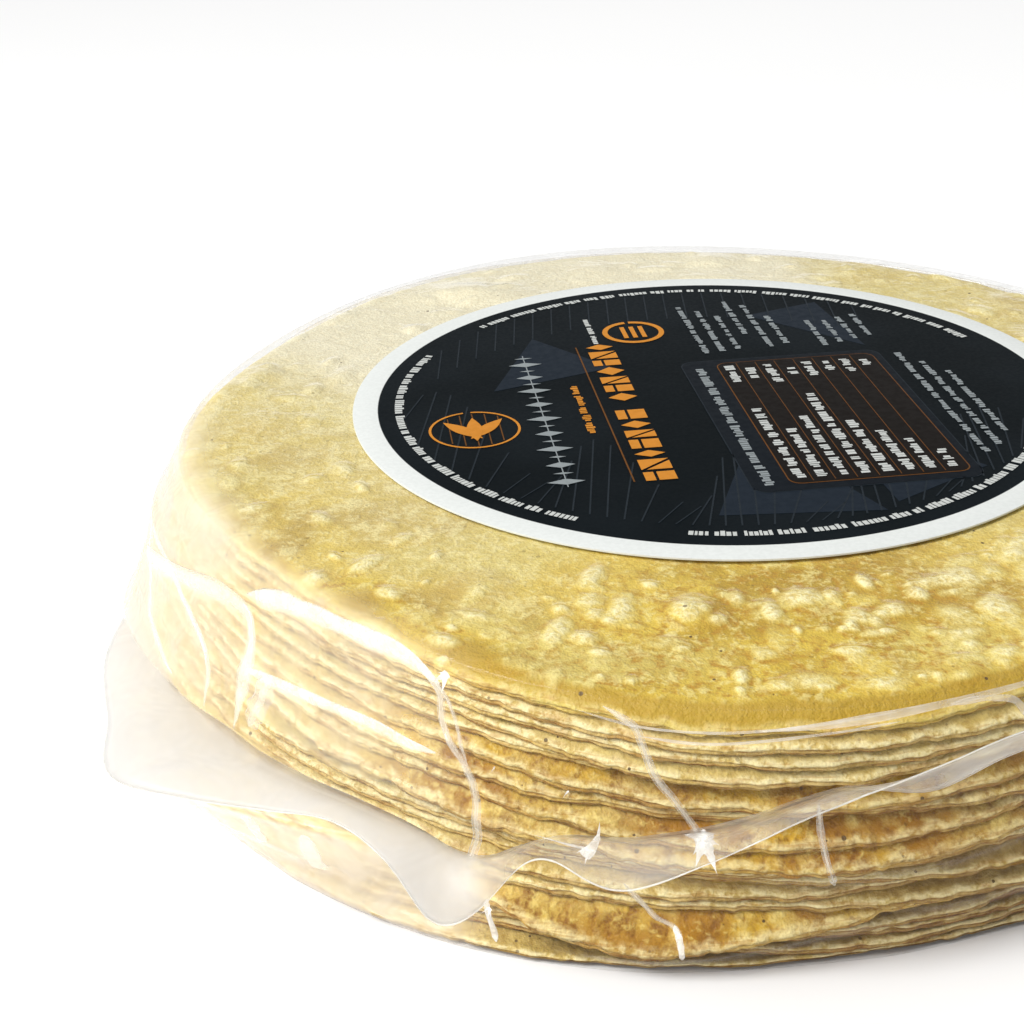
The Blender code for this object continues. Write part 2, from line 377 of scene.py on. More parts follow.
def raisedRound(values, steps):
    # the same round the stack, with its own step at each radius
    tripled = np.concatenate([values] * 3, axis=0)
    slope = np.arange(len(tripled))[:, None] * steps[None, :]
    forward = np.maximum.accumulate(tripled + slope, axis=0) - slope
    back = np.maximum.accumulate((tripled - slope)[::-1], axis=0)[::-1] + slope
    return np.maximum(forward, back)[len(values):2 * len(values)]


def drapeStack():
    # each tortilla lies on the ones below; past their rims it bends down no steeper than its limit
    s = stackShape
    support = np.zeros((len(evenAngles), len(radiusGrid)))
    twistStep = 2.0 * math.pi / len(evenAngles) * radiusGrid * s["twist"]
    unders, rims = [], []
    for layer in range(s["layers"]):
        rim = rimRadius(layer, evenAngles)
        inside = radiusGrid[None, :] <= rim[:, None] + 0.5 * mm
        needed = np.where(inside, support + (s["gap"] if layer else 0.0), -1.0)
        sheet = raisedOutwards(needed, s["steepBend"].get(layer, s["bend"]) * radiusStep)
        sheet = raisedRound(sheet, twistStep)
        thinning = (1.0 - s["rimThinning"]) * (1.0 - (rim[:, None] - radiusGrid) / s["rimWidth"])
        over = sheet + s["thickness"] * np.clip(1.0 - thinning, s["rimThinning"], 1.0)
        covered = radiusGrid[None, :] <= rim[:, None] + s["rimClearance"]
        support = np.maximum(support, np.where(covered, over, 0.0))
        unders.append(sheet)
        rims.append(rim)
    return np.array(unders), np.array(rims)


underHeights, rimLines = drapeStack()
print("stack draped, lowest and highest middle:", underHeights[0, 0, 0], underHeights[topLayer, 0, 0])

# stations round the stack: closer where the camera looks, wider behind
stations = np.concatenate([
    np.radians(np.arange(-165.0, -15.0, 0.3)),
    np.radians(np.arange(-15.0, 195.0, 0.75)),
])


def roundPlace(angles):
    # where angles fall among the even angles: the one before, the one after, and the share between
    place = (angles - evenAngles[0]) / (2.0 * math.pi) * len(evenAngles)
    low = np.floor(place).astype(int)
    return low % len(evenAngles), (low + 1) % len(evenAngles), place - low


def atStations(values):
    # values kept at even angles, read between two of them at every station
    before, after, share = roundPlace(stations)
    share = share.reshape(-1, *([1] * (values.ndim - 1)))
    return values[before] * (1.0 - share) + values[after] * share


def atRadii(sheet, radii):
    # heights kept on the radius grid, read at one radius or more for each station
    place = np.clip((radii - radiusGrid[0]) / radiusStep, 0.0, len(radiusGrid) - 1.001)
    low = np.floor(place).astype(int)
    share = place - low
    rows = np.arange(len(sheet))[:, None]
    return sheet[rows, low] * (1.0 - share) + sheet[rows, low + 1] * share


def runningMean(sheet, reach, axis, mode):
    # the mean of reach samples to either side
    pad, start = [(0, 0), (0, 0)], [(0, 0), (0, 0)]
    pad[axis], start[axis] = (reach, reach), (1, 0)
    sums = np.cumsum(np.pad(np.pad(sheet, pad, mode=mode), start), axis=axis)
    size = sheet.shape[axis]
    high = np.take(sums, np.arange(size) + 2 * reach + 1, axis=axis)
    return (high - np.take(sums, np.arange(size), axis=axis)) / (2 * reach + 1)


def eased(sheet, reach):
    return runningMean(sheet, reach, 1, "edge")


def smoothRound(values, reach):
    if values.ndim == 1:
        return runningMean(values[:, None], reach, 0, "wrap")[:, 0]
    return runningMean(values, reach, 0, "wrap")


# tortillas

tortillaLook = {
    "thickness": 1.38 * mm,       # neighbours all but touch
    "raggedCoarse": 0.42 * mm,    # unevenness of a rim, over about 6 mm
    "raggedFine": 0.26 * mm,      # and over about 1.5 mm
    "rimWave": 0.17 * mm,         # how far a rim sways up and down
    "flake": 0.17 * mm,           # how far the torn lips of one rim differ
    "crustRelief": 0.26 * mm,     # lumps on the faces that show
    "crumbRelief": 0.10 * mm,     # crumb-like unevenness of the top face
    "insets": (12.0, 9.5, 7.6, 6.2, 5.1, 4.2, 3.4, 2.75, 2.2, 1.7, 1.3, 0.95, 0.65, 0.42),
    "topInsets": (1.5, 1.1, 0.8, 0.55, 0.38),
    # millimetres in from the rim, share of the thickness, how deep in a groove (0 to 1), which sets its
    # painted shade
    "rim": (
        (0.22, 0.99, 0.0), (0.07, 0.94, 0.0), (0.00, 0.84, 0.0), (0.13, 0.72, 0.6), (0.27, 0.63, 1.0),
        (0.15, 0.53, 0.4), (0.05, 0.43, 0.0), (0.16, 0.33, 0.5), (0.26, 0.24, 1.0), (0.20, 0.13, 0.5),
        (0.36, 0.03, 0.9),
    ),
    "lowerInsets": (0.7, 1.3, 3.0, 8.0),
    # how golden each tortilla is, lowest first: ledges that show are toasted, pressed ones stay pale
    "goldness": (
        0.30, 0.25, 0.28, 0.30, 0.35, 0.95, 0.35, 0.45, 0.50, 0.35,
        0.45, 0.95, 1.0, 0.9, 0.85, 0.35, 0.3, 0.25, 0.3, 1.0,
    ),
    # how brown the rims are, lowest first, partly painted shade that darkens the lower tortillas and the side
    # away from the light; less so to the left
    "brownAndShadeAmounts": (
        0.9, 1.0, 1.0, 0.95, 0.85, 0.12, 0.85, 0.95, 0.85, 0.80,
        0.85, 0.25, 0.20, 0.25, 0.35, 0.35, 0.25, 0.35, 0.25, 0.0,
    ),
    "toastedSpots": ((-131.0, 4.0), (-117.0, 3.5)),   # angle and width on the top's front rim
}

blisterField = {
    "count": 400,
    "route": (50.0 * mm, 72.0 * mm),
    "radius": (0.8 * mm, 3.7 * mm),
    "height": (0.12 * mm, 0.46 * mm),
    "thickest": -62.0,   # the angle where they stand closest
    "spread": 30.0,
    "fewest": 0.14,
    "seed": 7,
}


def packedBlisters(x, y):
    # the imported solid's own blisters: each a rounded cap (1 - (d / r)^2)^2
    s = stackShape
    draw = np.random.default_rng(s["seed"])
    height = np.zeros_like(x)
    for _ in range(s["blisters"]):
        angle = draw.uniform(0.0, 2.0 * math.pi)
        away = draw.uniform(*s["blisterRoute"])
        radius = draw.uniform(*s["blisterRadius"])
        size = draw.uniform(*s["blisterHeight"])
        distance = np.hypot(x - away * math.cos(angle), y - away * math.sin(angle))
        height += size * unit(1.0 - (distance / radius) ** 2) ** 2
    return height


def smallBlisters(x, y):
    # clusters of small caps, closest together on the side that faces the camera to the right
    b = blisterField
    draw = np.random.default_rng(b["seed"])
    height = np.zeros_like(x)
    made = 0
    while made < b["count"]:
        angle = draw.uniform(-math.pi, math.pi)
        away = draw.uniform(*b["route"])
        keep = draw.uniform()
        radius = draw.uniform(*b["radius"]) * draw.uniform(0.6, 1.0)
        size = draw.uniform(*b["height"])
        stretch = draw.uniform(0.6, 1.6)
        if keep > b["fewest"] + (1.0 - b["fewest"]) * bell(math.degrees(angle), b["thickest"], b["spread"]):
            continue
        made += 1
        dx, dy = (x - away * math.cos(angle)).ravel(), (y - away * math.sin(angle)).ravel()
        near = np.flatnonzero((np.abs(dx) < 2 * radius) & (np.abs(dy) < 2 * radius))
        u = dx[near] * math.cos(angle) + dy[near] * math.sin(angle)
        v = -dx[near] * math.sin(angle) + dy[near] * math.cos(angle)
        distance = (u * stretch) ** 2 + (v / stretch) ** 2
        cap = size * unit(1.0 - distance / radius ** 2) ** 2
        height.ravel()[near] = np.maximum(height.ravel()[near], cap)
    return height


def topRelief(x, y):
    # all that stands up on the top face: large blisters, small ones and crumb-like unevenness
    grainy = layeredNoise(x + 0.3, y + 0.3, 0.0 * x + 0.1, 1.9 * mm, 30, 3)
    return packedBlisters(x, y), smallBlisters(x, y), tortillaLook["crumbRelief"] * grainy


def topGoldenAndSheen(x, y, turned, insets):
    # most golden in front and along the front rim, paler to the left and palest at the back, where the
    # paleness is a painted sheen
    deep = unit(1.0 - (y + 58.0 * mm) / (100.0 * mm))
    deep = deep - 0.28 * bell(x, -34.0 * mm, 20.0 * mm)
    deep = deep - 0.15 * unit((x - 5.0 * mm) / (20.0 * mm)) * (y < 0.0)
    deep = deep + 0.40 * unit((x - 18.0 * mm) / (15.0 * mm)) * unit(y / (30.0 * mm))
    front = bell((turned + 75.0 + 180.0) % 360.0 - 180.0, 0.0, 70.0)
    band = bell(insets, 1.3 * mm, 1.1 * mm)[None, :] * unit(1.6 * front - 0.5)
    spots = sum(bell(turned, angle, width) for angle, width in tortillaLook["toastedSpots"])
    return unit(deep) + 0.95 * band + 0.8 * spots * bell(insets, 3.5 * mm, 2.5 * mm)[None, :]


def tortillaRows(layer):
    # rings of one tortilla: its top face from the inside outwards, the torn lips of its rim, and back
    # under; with them the marks that its finish reads
    t = tortillaLook
    isTop = layer == topLayer
    rim = atStations(rimLines[layer])
    sheet = atStations(eased(underHeights[layer], 3))
    coarse = ringNoise(stations, 75.0, layer * 3.7, 11, 2)
    fine = ringNoise(stations, 300.0, layer * 5.1, 15, 2)
    ragged = rim + t["raggedCoarse"] * coarse + t["raggedFine"] * np.minimum(fine, 0.25)
    upper = np.array((24.0, *t["insets"])) * mm
    if isTop:
        upper = np.concatenate([np.linspace(29.0, 1.9, 84), t["topInsets"]]) * mm
    lower = np.array(t["lowerInsets"]) * mm
    rimInsets, rimLevels, rimGrooves = (np.array(v) for v in zip(*t["rim"]))
    insets = np.concatenate([upper, rimInsets * mm, lower])
    level = np.concatenate([np.ones(len(upper)), rimLevels, np.zeros(len(lower))])
    groove = np.concatenate([np.zeros(len(upper)), rimGrooves, np.ones(len(lower))])
    onRim = np.concatenate([np.zeros(len(upper)), np.ones(len(rimInsets)), np.zeros(len(lower))])
    topSide = (level >= 1.0) * 1.0

    flakes = [ringNoise(stations, 210.0, layer * 7.3 + row * 0.8, 33, 2) * on for row, on in enumerate(onRim)]
    flakes = np.stack(flakes, -1)
    radii = ragged[:, None] - insets[None, :] + t["flake"] * flakes
    x, y = radii * np.cos(stations)[:, None], radii * np.sin(stations)[:, None]
    turned = np.degrees(np.arctan2(y, x))

    thickness = t["thickness"] * (1.0 + 0.10 * ringNoise(stations, 40.0, layer * 2.3, 19, 2))[:, None]
    thin = 1.0 - (1.0 - stackShape["rimThinning"]) * unit(1.0 - insets / stackShape["rimWidth"])[None, :]
    sway = ringNoise(stations, 55.0, layer * 1.9, 27, 3)
    sway = sway + 0.45 * ringNoise(stations, 190.0, layer * 2.7, 29, 2)
    z = atRadii(sheet, radii) + thickness * thin * level[None, :]
    z = z + t["rimWave"] * sway[:, None] * unit(1.0 - insets / (6.0 * mm))[None, :]
    if layer == 0:
        # the lowest rim stands a little off the floor
        lifted = unit(1.0 - insets / (3.0 * mm)) * (level < 0.5)
        z = np.maximum(z, (0.16 * mm + 0.50 * mm * lifted)[None, :])

    goldenAndSheen = t["goldness"][layer] * (0.35 + 0.65 * unit((turned + 130.0) / 14.0))
    if isTop:
        large, small, grainy = topRelief(x, y)
        fade = unit(insets / (0.8 * mm))[None, :] * topSide[None, :]
        z = z - (t["thickness"] - stackShape["thickness"]) * level[None, :]
        z = z + (large + small + grainy) * fade
        relief = (large * 0.3 + small * 2.0) / (0.5 * mm)
        goldenAndSheen = topGoldenAndSheen(x, y, turned, insets)
    else:
        lumps = layeredNoise(x + 0.5, y + 0.5, z + layer * 0.013, 2.2 * mm, 23, 3)
        shows = topSide * unit(insets / (0.5 * mm)) * unit((11.0 * mm - insets) / (4.0 * mm))
        z = z + t["crustRelief"] * lumps * shows[None, :]
        relief = unit(lumps * 1.6)
    edge = insets[None, :] + 0.25 * mm * fine[:, None] - 0.25 * mm
    # the finish's marks: the groove and brown marks carry painted shade, and on the top the golden mark
    # carries a painted sheen towards the back
    marks = {
        "blister": relief,
        "face": topSide[None, :] * unit(edge / (0.4 * mm)),
        "goldenAndSheen": goldenAndSheen,
        "wrap": np.broadcast_to((1.0 - level)[None, :], x.shape),
        "brownAndShade": t["brownAndShadeAmounts"][layer] * unit((turned + 126.0) / 58.0),
        "sunkShade": unit(groove[None, :] - 0.8 * flakes) * np.maximum(onRim, groove)[None, :],
    }
    return np.stack([x, y, z], -1).transpose(1, 0, 2), marks


# the blisters' top colour is cream, partly a painted highlight
# the gap colour is painted shade between the tortillas
# the lip colour is a painted highlight along the upper edge of each rim
# the palest colour is a painted sheen, at the back of the top
cornColours = {
    "toasted": {
        "gold": (0.73, 0.53, 0.070), "deepGold": (0.47, 0.30, 0.022), "olive": (0.73, 0.61, 0.17),
        "cream": (0.86, 0.74, 0.28), "blisterCreamHighlight": (0.96, 0.89, 0.52), "rim": (0.80, 0.64, 0.22),
        "lipHighlight": (0.88, 0.75, 0.34), "gap": (0.26, 0.13, 0.025), "scorch": (0.46, 0.24, 0.024),
        "softLow": (0.71, 0.61, 0.26), "softHigh": (0.83, 0.76, 0.44), "palestSheen": (0.92, 0.88, 0.70),
        "shine": 0.35, "creamFrom": 0.49, "darkest": 0.24, "lipHighlightShare": 0.5,
    },
    "pale": {
        "gold": (0.64, 0.385, 0.026), "deepGold": (0.40, 0.185, 0.010), "olive": (0.60, 0.43, 0.12),
        "cream": (0.80, 0.61, 0.18), "blisterCreamHighlight": (0.88, 0.72, 0.26), "rim": (0.82, 0.645, 0.26),
        "lipHighlight": (0.95, 0.84, 0.46), "gap": (0.15, 0.058, 0.009), "scorch": (0.22, 0.088, 0.008),
        "softLow": (0.60, 0.46, 0.14), "softHigh": (0.76, 0.61, 0.215), "palestSheen": (0.76, 0.61, 0.215),
        "shine": 0.25, "creamFrom": 0.51, "darkest": 0.65, "lipHighlightShare": 0.9,
    },
}
# grain sizes of the finish, and what its darker places multiply the colour by: thin lines and specks of its
# own, painted shade in the grooves and under the rims, and brown that is partly painted shade
cornGrain = {
    "broad": 11.0 * mm, "olive": 21.0 * mm, "patch": 3.0 * mm, "fine": 0.80 * mm, "grain": 0.36 * mm,
    "runs": (1.7 * mm, 8.0 * mm), "lines": (4.5 * mm, 0.46 * mm), "specks": 1.7 * mm,
}
cornStainsAndShade = {
    "lines": (0.66, 0.45, 0.24), "underside": (0.88, 0.72, 0.50), "groove": (0.38, 0.20, 0.07),
    "brownAndShade": (0.36, 0.25, 0.13), "speck": (0.10, 0.055, 0.018),
}


def bakedFace(s, c, goldenAndSheen, blister, broad, mottled, fine):
    # gold to deep gold by coarse noise, olive by a coarser one, cream where fine noise and blisters rise, the
    # blisters' tops palest (cream, partly a painted highlight), a darker ring at the foot of blisters, pale
    # tones with a painted sheen where the face is least golden, and scorched runs where the face is toasted
    oliveTone = s.noise(cornGrain["olive"], 1.0, 0.5, 0.3, s.stretch(shift=(0.31, 0.17, 0.09)))
    body = s.mix(s.ramp(broad, 0.36, 0.60), c["deepGold"], c["gold"])
    body = s.mix(s.ramp(oliveTone, 0.50, 0.68, 0.0, 0.7), body, c["olive"])
    body = s.mix(s.ramp(mottled, c["creamFrom"], c["creamFrom"] + 0.13, 0.0, 0.75), body, c["cream"])
    body = s.mix(s.ramp(mottled, 0.33, 0.50, c["darkest"], 0.0), body, c["deepGold"])
    body = s.mix(s.ramp(goldenAndSheen, 0.95, 1.6, 0.0, 0.95), body, c["deepGold"])
    foot = s.times(s.ramp(blister, 0.0, 0.10), s.ramp(blister, 0.12, 0.40, 1.0, 0.0))
    body = s.mix(s.times(foot, 0.22), body, c["scorch"])
    raised = s.times(s.ramp(blister, 0.10, 0.95, 0.0, 0.9), s.ramp(fine, 0.32, 0.62, 0.45, 1.0), True)
    body = s.mix(raised, body, c["cream"])
    # palest on the blisters' tops: cream, partly a painted highlight
    highest = s.times(s.ramp(blister, 0.55, 1.4), s.ramp(fine, 0.36, 0.64, 0.2, 1.0), True)
    body = s.mix(highest, body, c["blisterCreamHighlight"])
    # where the face is least golden: soft pale tones, and on the top a painted sheen towards the back
    softer = s.mix(s.ramp(mottled, 0.38, 0.60), c["softLow"], c["softHigh"])
    softer = s.mix(s.ramp(goldenAndSheen, 0.0, 0.30, 0.75, 0.0), softer, c["palestSheen"])
    body = s.mix(s.ramp(goldenAndSheen, 0.0, 1.0), softer, body)
    toasted = s.times(s.ramp(goldenAndSheen, 0.6, 0.95), s.ramp(goldenAndSheen, 1.0, 1.05, 1.0, 0.0))
    runs = s.times(s.ramp(s.streaks(*cornGrain["runs"]), 0.47, 0.60, 0.0, 0.9), toasted)
    runs = s.times(runs, s.ramp(fine, 0.34, 0.62, 1.0, 0.35))
    return s.mix(s.times(runs, s.ramp(blister, 0.1, 0.5, 1.0, 0.2)), body, c["scorch"])


def tornRim(s, c, body, goldenAndSheen, wrap, mottled, fine):
    # rim colour, olive or cream by noise, partly the face's own where it is toasted, paler at the lip as a
    # painted highlight along its upper edge
    pale = s.mix(s.ramp(fine, 0.35, 0.65), c["olive"], c["cream"])
    pale = s.mix(s.ramp(mottled, 0.40, 0.60), pale, c["rim"])
    pale = s.mix(s.ramp(goldenAndSheen, 0.5, 1.0, 0.0, 0.62), pale, body)
    # painted highlight: the rim turns paler along its upper lip
    lipHighlightMask = s.times(s.ramp(wrap, 0.08, 0.26, c["lipHighlightShare"], 0.0), s.ramp(goldenAndSheen, 0.4, 1.0, 1.0, 0.55))
    return s.mix(s.times(lipHighlightMask, s.ramp(mottled, 0.38, 0.56)), pale, c["lipHighlight"])


def cornFinish(name, c):
    # the baked face and the torn rim, with painted shade in the grooves, on the rim's underside and in the
    # gaps, thin lines and brown patches that are partly painted shade, with dark specks and a crumbly surface
    s = shaderSheet(name)
    g, stainsAndShade = cornGrain, cornStainsAndShade
    marks = ("blister", "face", "goldenAndSheen", "wrap", "brownAndShade", "sunkShade")
    blister, face, goldenAndSheen, wrap, brownAndShade, sunkShade = (s.attribute(mark) for mark in marks)
    broad = s.noise(g["broad"], 1.0, 0.6, 0.6)
    patch = s.noise(g["patch"], 2.0, 0.62, 0.3)
    fine = s.noise(g["fine"], 2.0, 0.70)
    grain = s.noise(g["grain"], 1.0, 0.6)
    mottled = s.plus(s.times(patch, 0.50), s.times(fine, 0.50))
    body = bakedFace(s, c, goldenAndSheen, blister, broad, mottled, fine)
    body = s.mix(face, tornRim(s, c, body, goldenAndSheen, wrap, mottled, fine), body)
    # painted shade in the grooves of the rims
    grooveShade = s.times(s.ramp(sunkShade, 0.15, 1.0, 0.0, 0.88), s.ramp(fine, 0.3, 0.7, 1.0, 0.65))
    body = s.tintBy(grooveShade, body, stainsAndShade["groove"])
    onRim = s.opposite(face)
    lines = s.times(s.ramp(s.streaks(*g["lines"]), 0.50, 0.62, 0.0, 0.55), onRim)
    body = s.tintBy(lines, body, stainsAndShade["lines"])
    # painted shade on the lower part of each rim
    body = s.tintBy(s.times(s.ramp(wrap, 0.25, 0.85, 0.0, 0.8), onRim), body, stainsAndShade["underside"])
    # painted shade: the underside of each rim, between the tortillas, turns to the dark gap colour
    body = s.mix(s.ramp(wrap, 0.80, 0.97, 0.0, 0.95), body, c["gap"])
    offLip = s.opposite(s.times(s.ramp(wrap, 0.06, 0.24, 0.7, 0.0), onRim))
    # brown patches that are partly painted shade, darkest on the lower tortillas and towards the right
    body = s.tintBy(s.times(s.times(brownAndShade, s.ramp(patch, 0.3, 0.7, 1.0, 0.7)), offLip), body, stainsAndShade["brownAndShade"])
    body = s.mix(s.ramp(grain, 0.25, 0.75, 0.22, 0.0), body, c["scorch"])
    tiny, numbers = s.cells(g["specks"])
    reach = s.plus(s.ramp(numbers[0], 0.0, 1.0, 0.06, 0.15), 0.04)
    near = s.math("LESS_THAN", s.plus(tiny, s.times(fine, 0.08)), reach)
    dots = s.times(near, s.math("GREATER_THAN", numbers[1], 0.66))
    body = s.mix(s.times(dots, s.ramp(numbers[2], 0.0, 1.0, 0.35, 0.95)), body, stainsAndShade["speck"])
    crumbly = s.bump(s.plus(fine, s.times(grain, 0.35)), 0.42, 0.30 * mm)
    return s.finish(s.shader("ShaderNodeBsdfPrincipled", **{
        "Base Color": body, "Roughness": s.ramp(patch, 0.3, 0.7, 0.46, 0.66),
        "Normal": s.bump(mottled, 0.5, 0.55 * mm, crumbly), "Specular IOR Level": c["shine"],
    }))


toastedFinish = cornFinish("toastedCorn", cornColours["toasted"])
paleFinish = cornFinish("paleCorn", cornColours["pale"])

for layer in range(stackShape["layers"]):
    isTop = layer == topLayer
    rows, marks = tortillaRows(layer)
    node = f"tortilla_{layer + 1:02d}"
    piece = makePiece(node + "_baked", *cappedRings(rows), toastedFinish if isTop else paleFinish)
    for mark, values in marks.items():
        setAttribute(piece, mark, np.append(values.T.ravel(), (values[0, 0], values[0, -1])))
    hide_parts(node)
print("tortillas made")


# label and its print

labelShape = {
    "centre": (1.6 * mm, 5.6 * mm),
    "radius": 50.0 * mm,
    "under": 31.05 * mm,
    "over": 31.35 * mm,
    "printRadius": 46.6 * mm,
    "readingAngle": 96.0,
    "ink": 0.02 * mm,
    "sides": 256,
}

inkColours = {
    "paleInk": (0.56, 0.58, 0.56),
    "silverInk": (0.27, 0.30, 0.31),
    "orangeInk": (0.60, 0.235, 0.030),
    "rustInk": (0.15, 0.060, 0.014),
    "brownInk": (0.0075, 0.0055, 0.0045),
    "slateInk": (0.0110, 0.0175, 0.0270),
    "deepInk": (0.0045, 0.0075, 0.0115),
    "lineInk": (0.0180, 0.0245, 0.0310),
}

# the print, in millimetres from the label's middle: a along the printed rows, b across them
printShape = {
    "facets": (
        ((-38, -8), (-14, 2), (-40, 12)), ((-30, 28), (-8, 12), (-38, 14)),
        ((6, -30), (26, -22), (12, -12)), ((14, 26), (30, 12), (34, 24)),
    ),
    "headingBlocks": (2.5, 3.1, 2.1, 2.8, 2.3),
    "silverHeights": (2.4, 1.3, 1.9, 1.1),
    "emblem": (-7.0, -34.0),
    "leaves": ((3, -38.0), (4, 38.0), (5, 0.0)),   # level of ink, turn
    "badge": (26.0, -6.5),
    "firstColumnEnds": (-6.0, -14.0, -10.0, -3.0, -12.0, -16.0, -20.0, -24.0),
    "lastColumn": (
        (3.0, 9.4), (4.0, 8.0), (2.0, 9.0), (4.5, 7.5), (3.5, 9.2), (5.0, 8.6), (4.0, 9.3), (6.0, 8.4),
    ),
    "rowsUnder": ((-26.0, 10.0), (-24.0, 6.0), (-20.0, 2.0)),
    "rowsBeside": ((15.0, 36.0), (15.5, 34.0), (16.0, 31.0), (22.0, 37.0), (16.0, 35.0), (17.0, 30.0)),
    "edgeBreaks": ((196.0, 214.0), (300.0, 318.0)),
    "seed": 5,
}

draw = np.random.default_rng(printShape["seed"])
printFields = []


def add(outline, level, ink):
    # one printed field: its outline, how many ink thicknesses up it lies, and its ink
    printFields.append((np.array(outline, float), level, ink))


def bar(a0, a1, b0, b1):
    return [(a0, b0), (a1, b0), (a1, b1), (a0, b1)]


def roundedBar(a0, a1, b0, b1, corner, steps=6):
    turn = np.linspace(0.0, math.pi / 2.0, steps)
    low, high, left, right = b0 + corner, b1 - corner, a0 + corner, a1 - corner
    corners = ((right, high), (left, high), (left, low), (right, low))
    spots = []
    for quarter, (a, b) in enumerate(corners):
        angle = turn + quarter * math.pi / 2.0
        spots.append(np.stack([a + corner * np.cos(angle), b + corner * np.sin(angle)], -1))
    return np.concatenate(spots)


def arcPiece(a, b, inner, outer, start, end, steps):
    # a piece of a ring round the point a, b
    angle = np.radians(np.linspace(start, end, steps))
    out = np.stack([a + outer * np.cos(angle), b + outer * np.sin(angle)], -1)
    back = np.stack([a + inner * np.cos(angle[::-1]), b + inner * np.sin(angle[::-1])], -1)
    return np.concatenate([out, back])


def dashes(a0, a1, b0, b1, ink, level):
    # a row of tiny strokes in groups of uneven length, a few of them taller or lower
    a = a0
    while a < a1:
        for _ in range(int(draw.integers(2, 8))):
            width = draw.uniform(0.28, 0.62)
            if a + width > a1:
                return
            low = b0 + draw.choice((0.0, 0.0, 0.25)) * (b1 - b0)
            high = b1 + draw.choice((0.0, 0.0, 0.22)) * (b1 - b0)
            add(bar(a, a + width, low, high), level, ink)
            a += width + draw.uniform(0.10, 0.20)
        a += draw.uniform(0.45, 0.8)


def printBackground():
    # broad slate facets, and thin slanting lines from the left and right edges
    for outline in printShape["facets"]:
        add(outline, 1, "slateInk")
    for i in range(46):
        b = -44.0 + i * 1.9
        reach = math.sqrt(max(0.0, 44.5 ** 2 - b * b))
        start = -reach + 3.0
        end = min(start + 13.0 + 9.0 * math.sin(i * 0.7), reach)
        add([(start, b), (end, b + 4.0), (end, b + 4.22), (start, b + 0.22)], 2, "lineInk")
    for i in range(22):
        b = -36.0 + i * 3.1
        reach = math.sqrt(max(0.0, 44.0 ** 2 - b * b))
        start, end = reach - 13.0, reach - 1.5
        add([(start, b - 1.5), (end, b), (end, b + 0.2), (start, b - 1.3)], 2, "lineInk")


def printHeading():
    # upright blocks in turn slit, split into two triangles or turned into a rhombus; a rule and a row
    a, low, middle, high = -27.0, -14.6, -12.6, -10.6
    for i in range(15):
        width = printShape["headingBlocks"][i % 5]
        if i == 7:
            a += 2.6
            continue
        if i % 3 == 0:
            add(bar(a, a + width, low, -13.3), 3, "orangeInk")
            add(bar(a, a + width, -12.9, high), 3, "orangeInk")
        elif i % 3 == 1:
            add([(a, low), (a + width, low), (a + width, high)], 3, "orangeInk")
            add([(a, -13.9), (a + 0.8 * width, high), (a, high)], 3, "orangeInk")
        else:
            halfway = a + width / 2
            add([(a, middle), (halfway, low), (a + width, middle), (halfway, high)], 3, "orangeInk")
        a += width + 0.75
    add(bar(-27.0, 21.0, -16.2, -16.0), 3, "rustInk")
    dashes(-11.0, 6.0, -19.3, -18.3, "orangeInk", 3)


def printSilverRow():
    # diamonds and thin strokes on a hairline
    line = -24.4
    add(bar(-27.0, 19.0, -24.45, -24.3), 3, "silverInk")
    for i in range(18):
        c = -25.5 + i * 2.55
        h = printShape["silverHeights"][i % 4]
        w = 0.85 if i % 2 == 0 else 0.28
        add([(c - w, line), (c, line - h), (c + w, line), (c, line + h)], 4, "silverInk")


def printEmblem():
    # a ring with fine bars behind three leaves
    a, b = printShape["emblem"]
    add(arcPiece(a, b, 5.8, 6.15, 0, 350, 48), 3, "orangeInk")
    for i in range(5):
        across = b - 3.4 + i * 1.7
        reach = math.sqrt(5.4 ** 2 - (across - b) ** 2)
        add(bar(a - reach, a + reach, across, across + 0.16), 2, "rustInk")
    t = np.linspace(0.0, math.pi, 12)
    side, run = 1.05 * np.sin(t), -3.9 + 7.8 * t / math.pi
    leaf = np.concatenate([np.stack([run, side], -1), np.stack([run[-2:0:-1], -side[-2:0:-1]], -1)])
    for level, turn in printShape["leaves"]:
        sine, cosine = math.sin(math.radians(turn)), math.cos(math.radians(turn))
        turned = leaf @ np.array([(cosine, sine), (-sine, cosine)])
        add(turned + np.array([a, b + 2.6 * sine]), level, "orangeInk")


def printBadge():
    # a small ring with three bars, and a row above it
    a, b = printShape["badge"]
    add(arcPiece(a, b, 3.9, 4.7, 0, 352, 40), 3, "orangeInk")
    for across in (-7.9, -6.5, -5.1):
        add(bar(a - 2.4, a + 2.4, across - 0.35, across + 0.35), 3, "orangeInk")
    dashes(22.0, 33.0, -13.2, -12.5, "paleInk", 3)


def printTable():
    # a framed panel with one row over a ruled table
    add(roundedBar(-33.0, 12.0, -2.4, 27.0, 2.0), 2, "lineInk")
    add(roundedBar(-32.85, 11.85, -2.25, 26.85, 1.9), 3, "deepInk")
    dashes(-31.0, 9.0, -0.6, 0.5, "silverInk", 4)
    add(roundedBar(-31.2, 10.6, 2.6, 25.8, 1.6), 4, "rustInk")
    add(roundedBar(-31.05, 10.45, 2.75, 25.65, 1.5), 5, "brownInk")
    for i, (start, end) in enumerate(printShape["lastColumn"]):
        b = 3.6 + i * 2.8
        if i:
            add(bar(-30.6, 10.0, b - 0.85, b - 0.76), 6, "rustInk")
        dashes(-29.6, printShape["firstColumnEnds"][i], b, b + 1.15, "paleInk", 6)
        dashes(start, end, b, b + 1.15, "paleInk", 6)


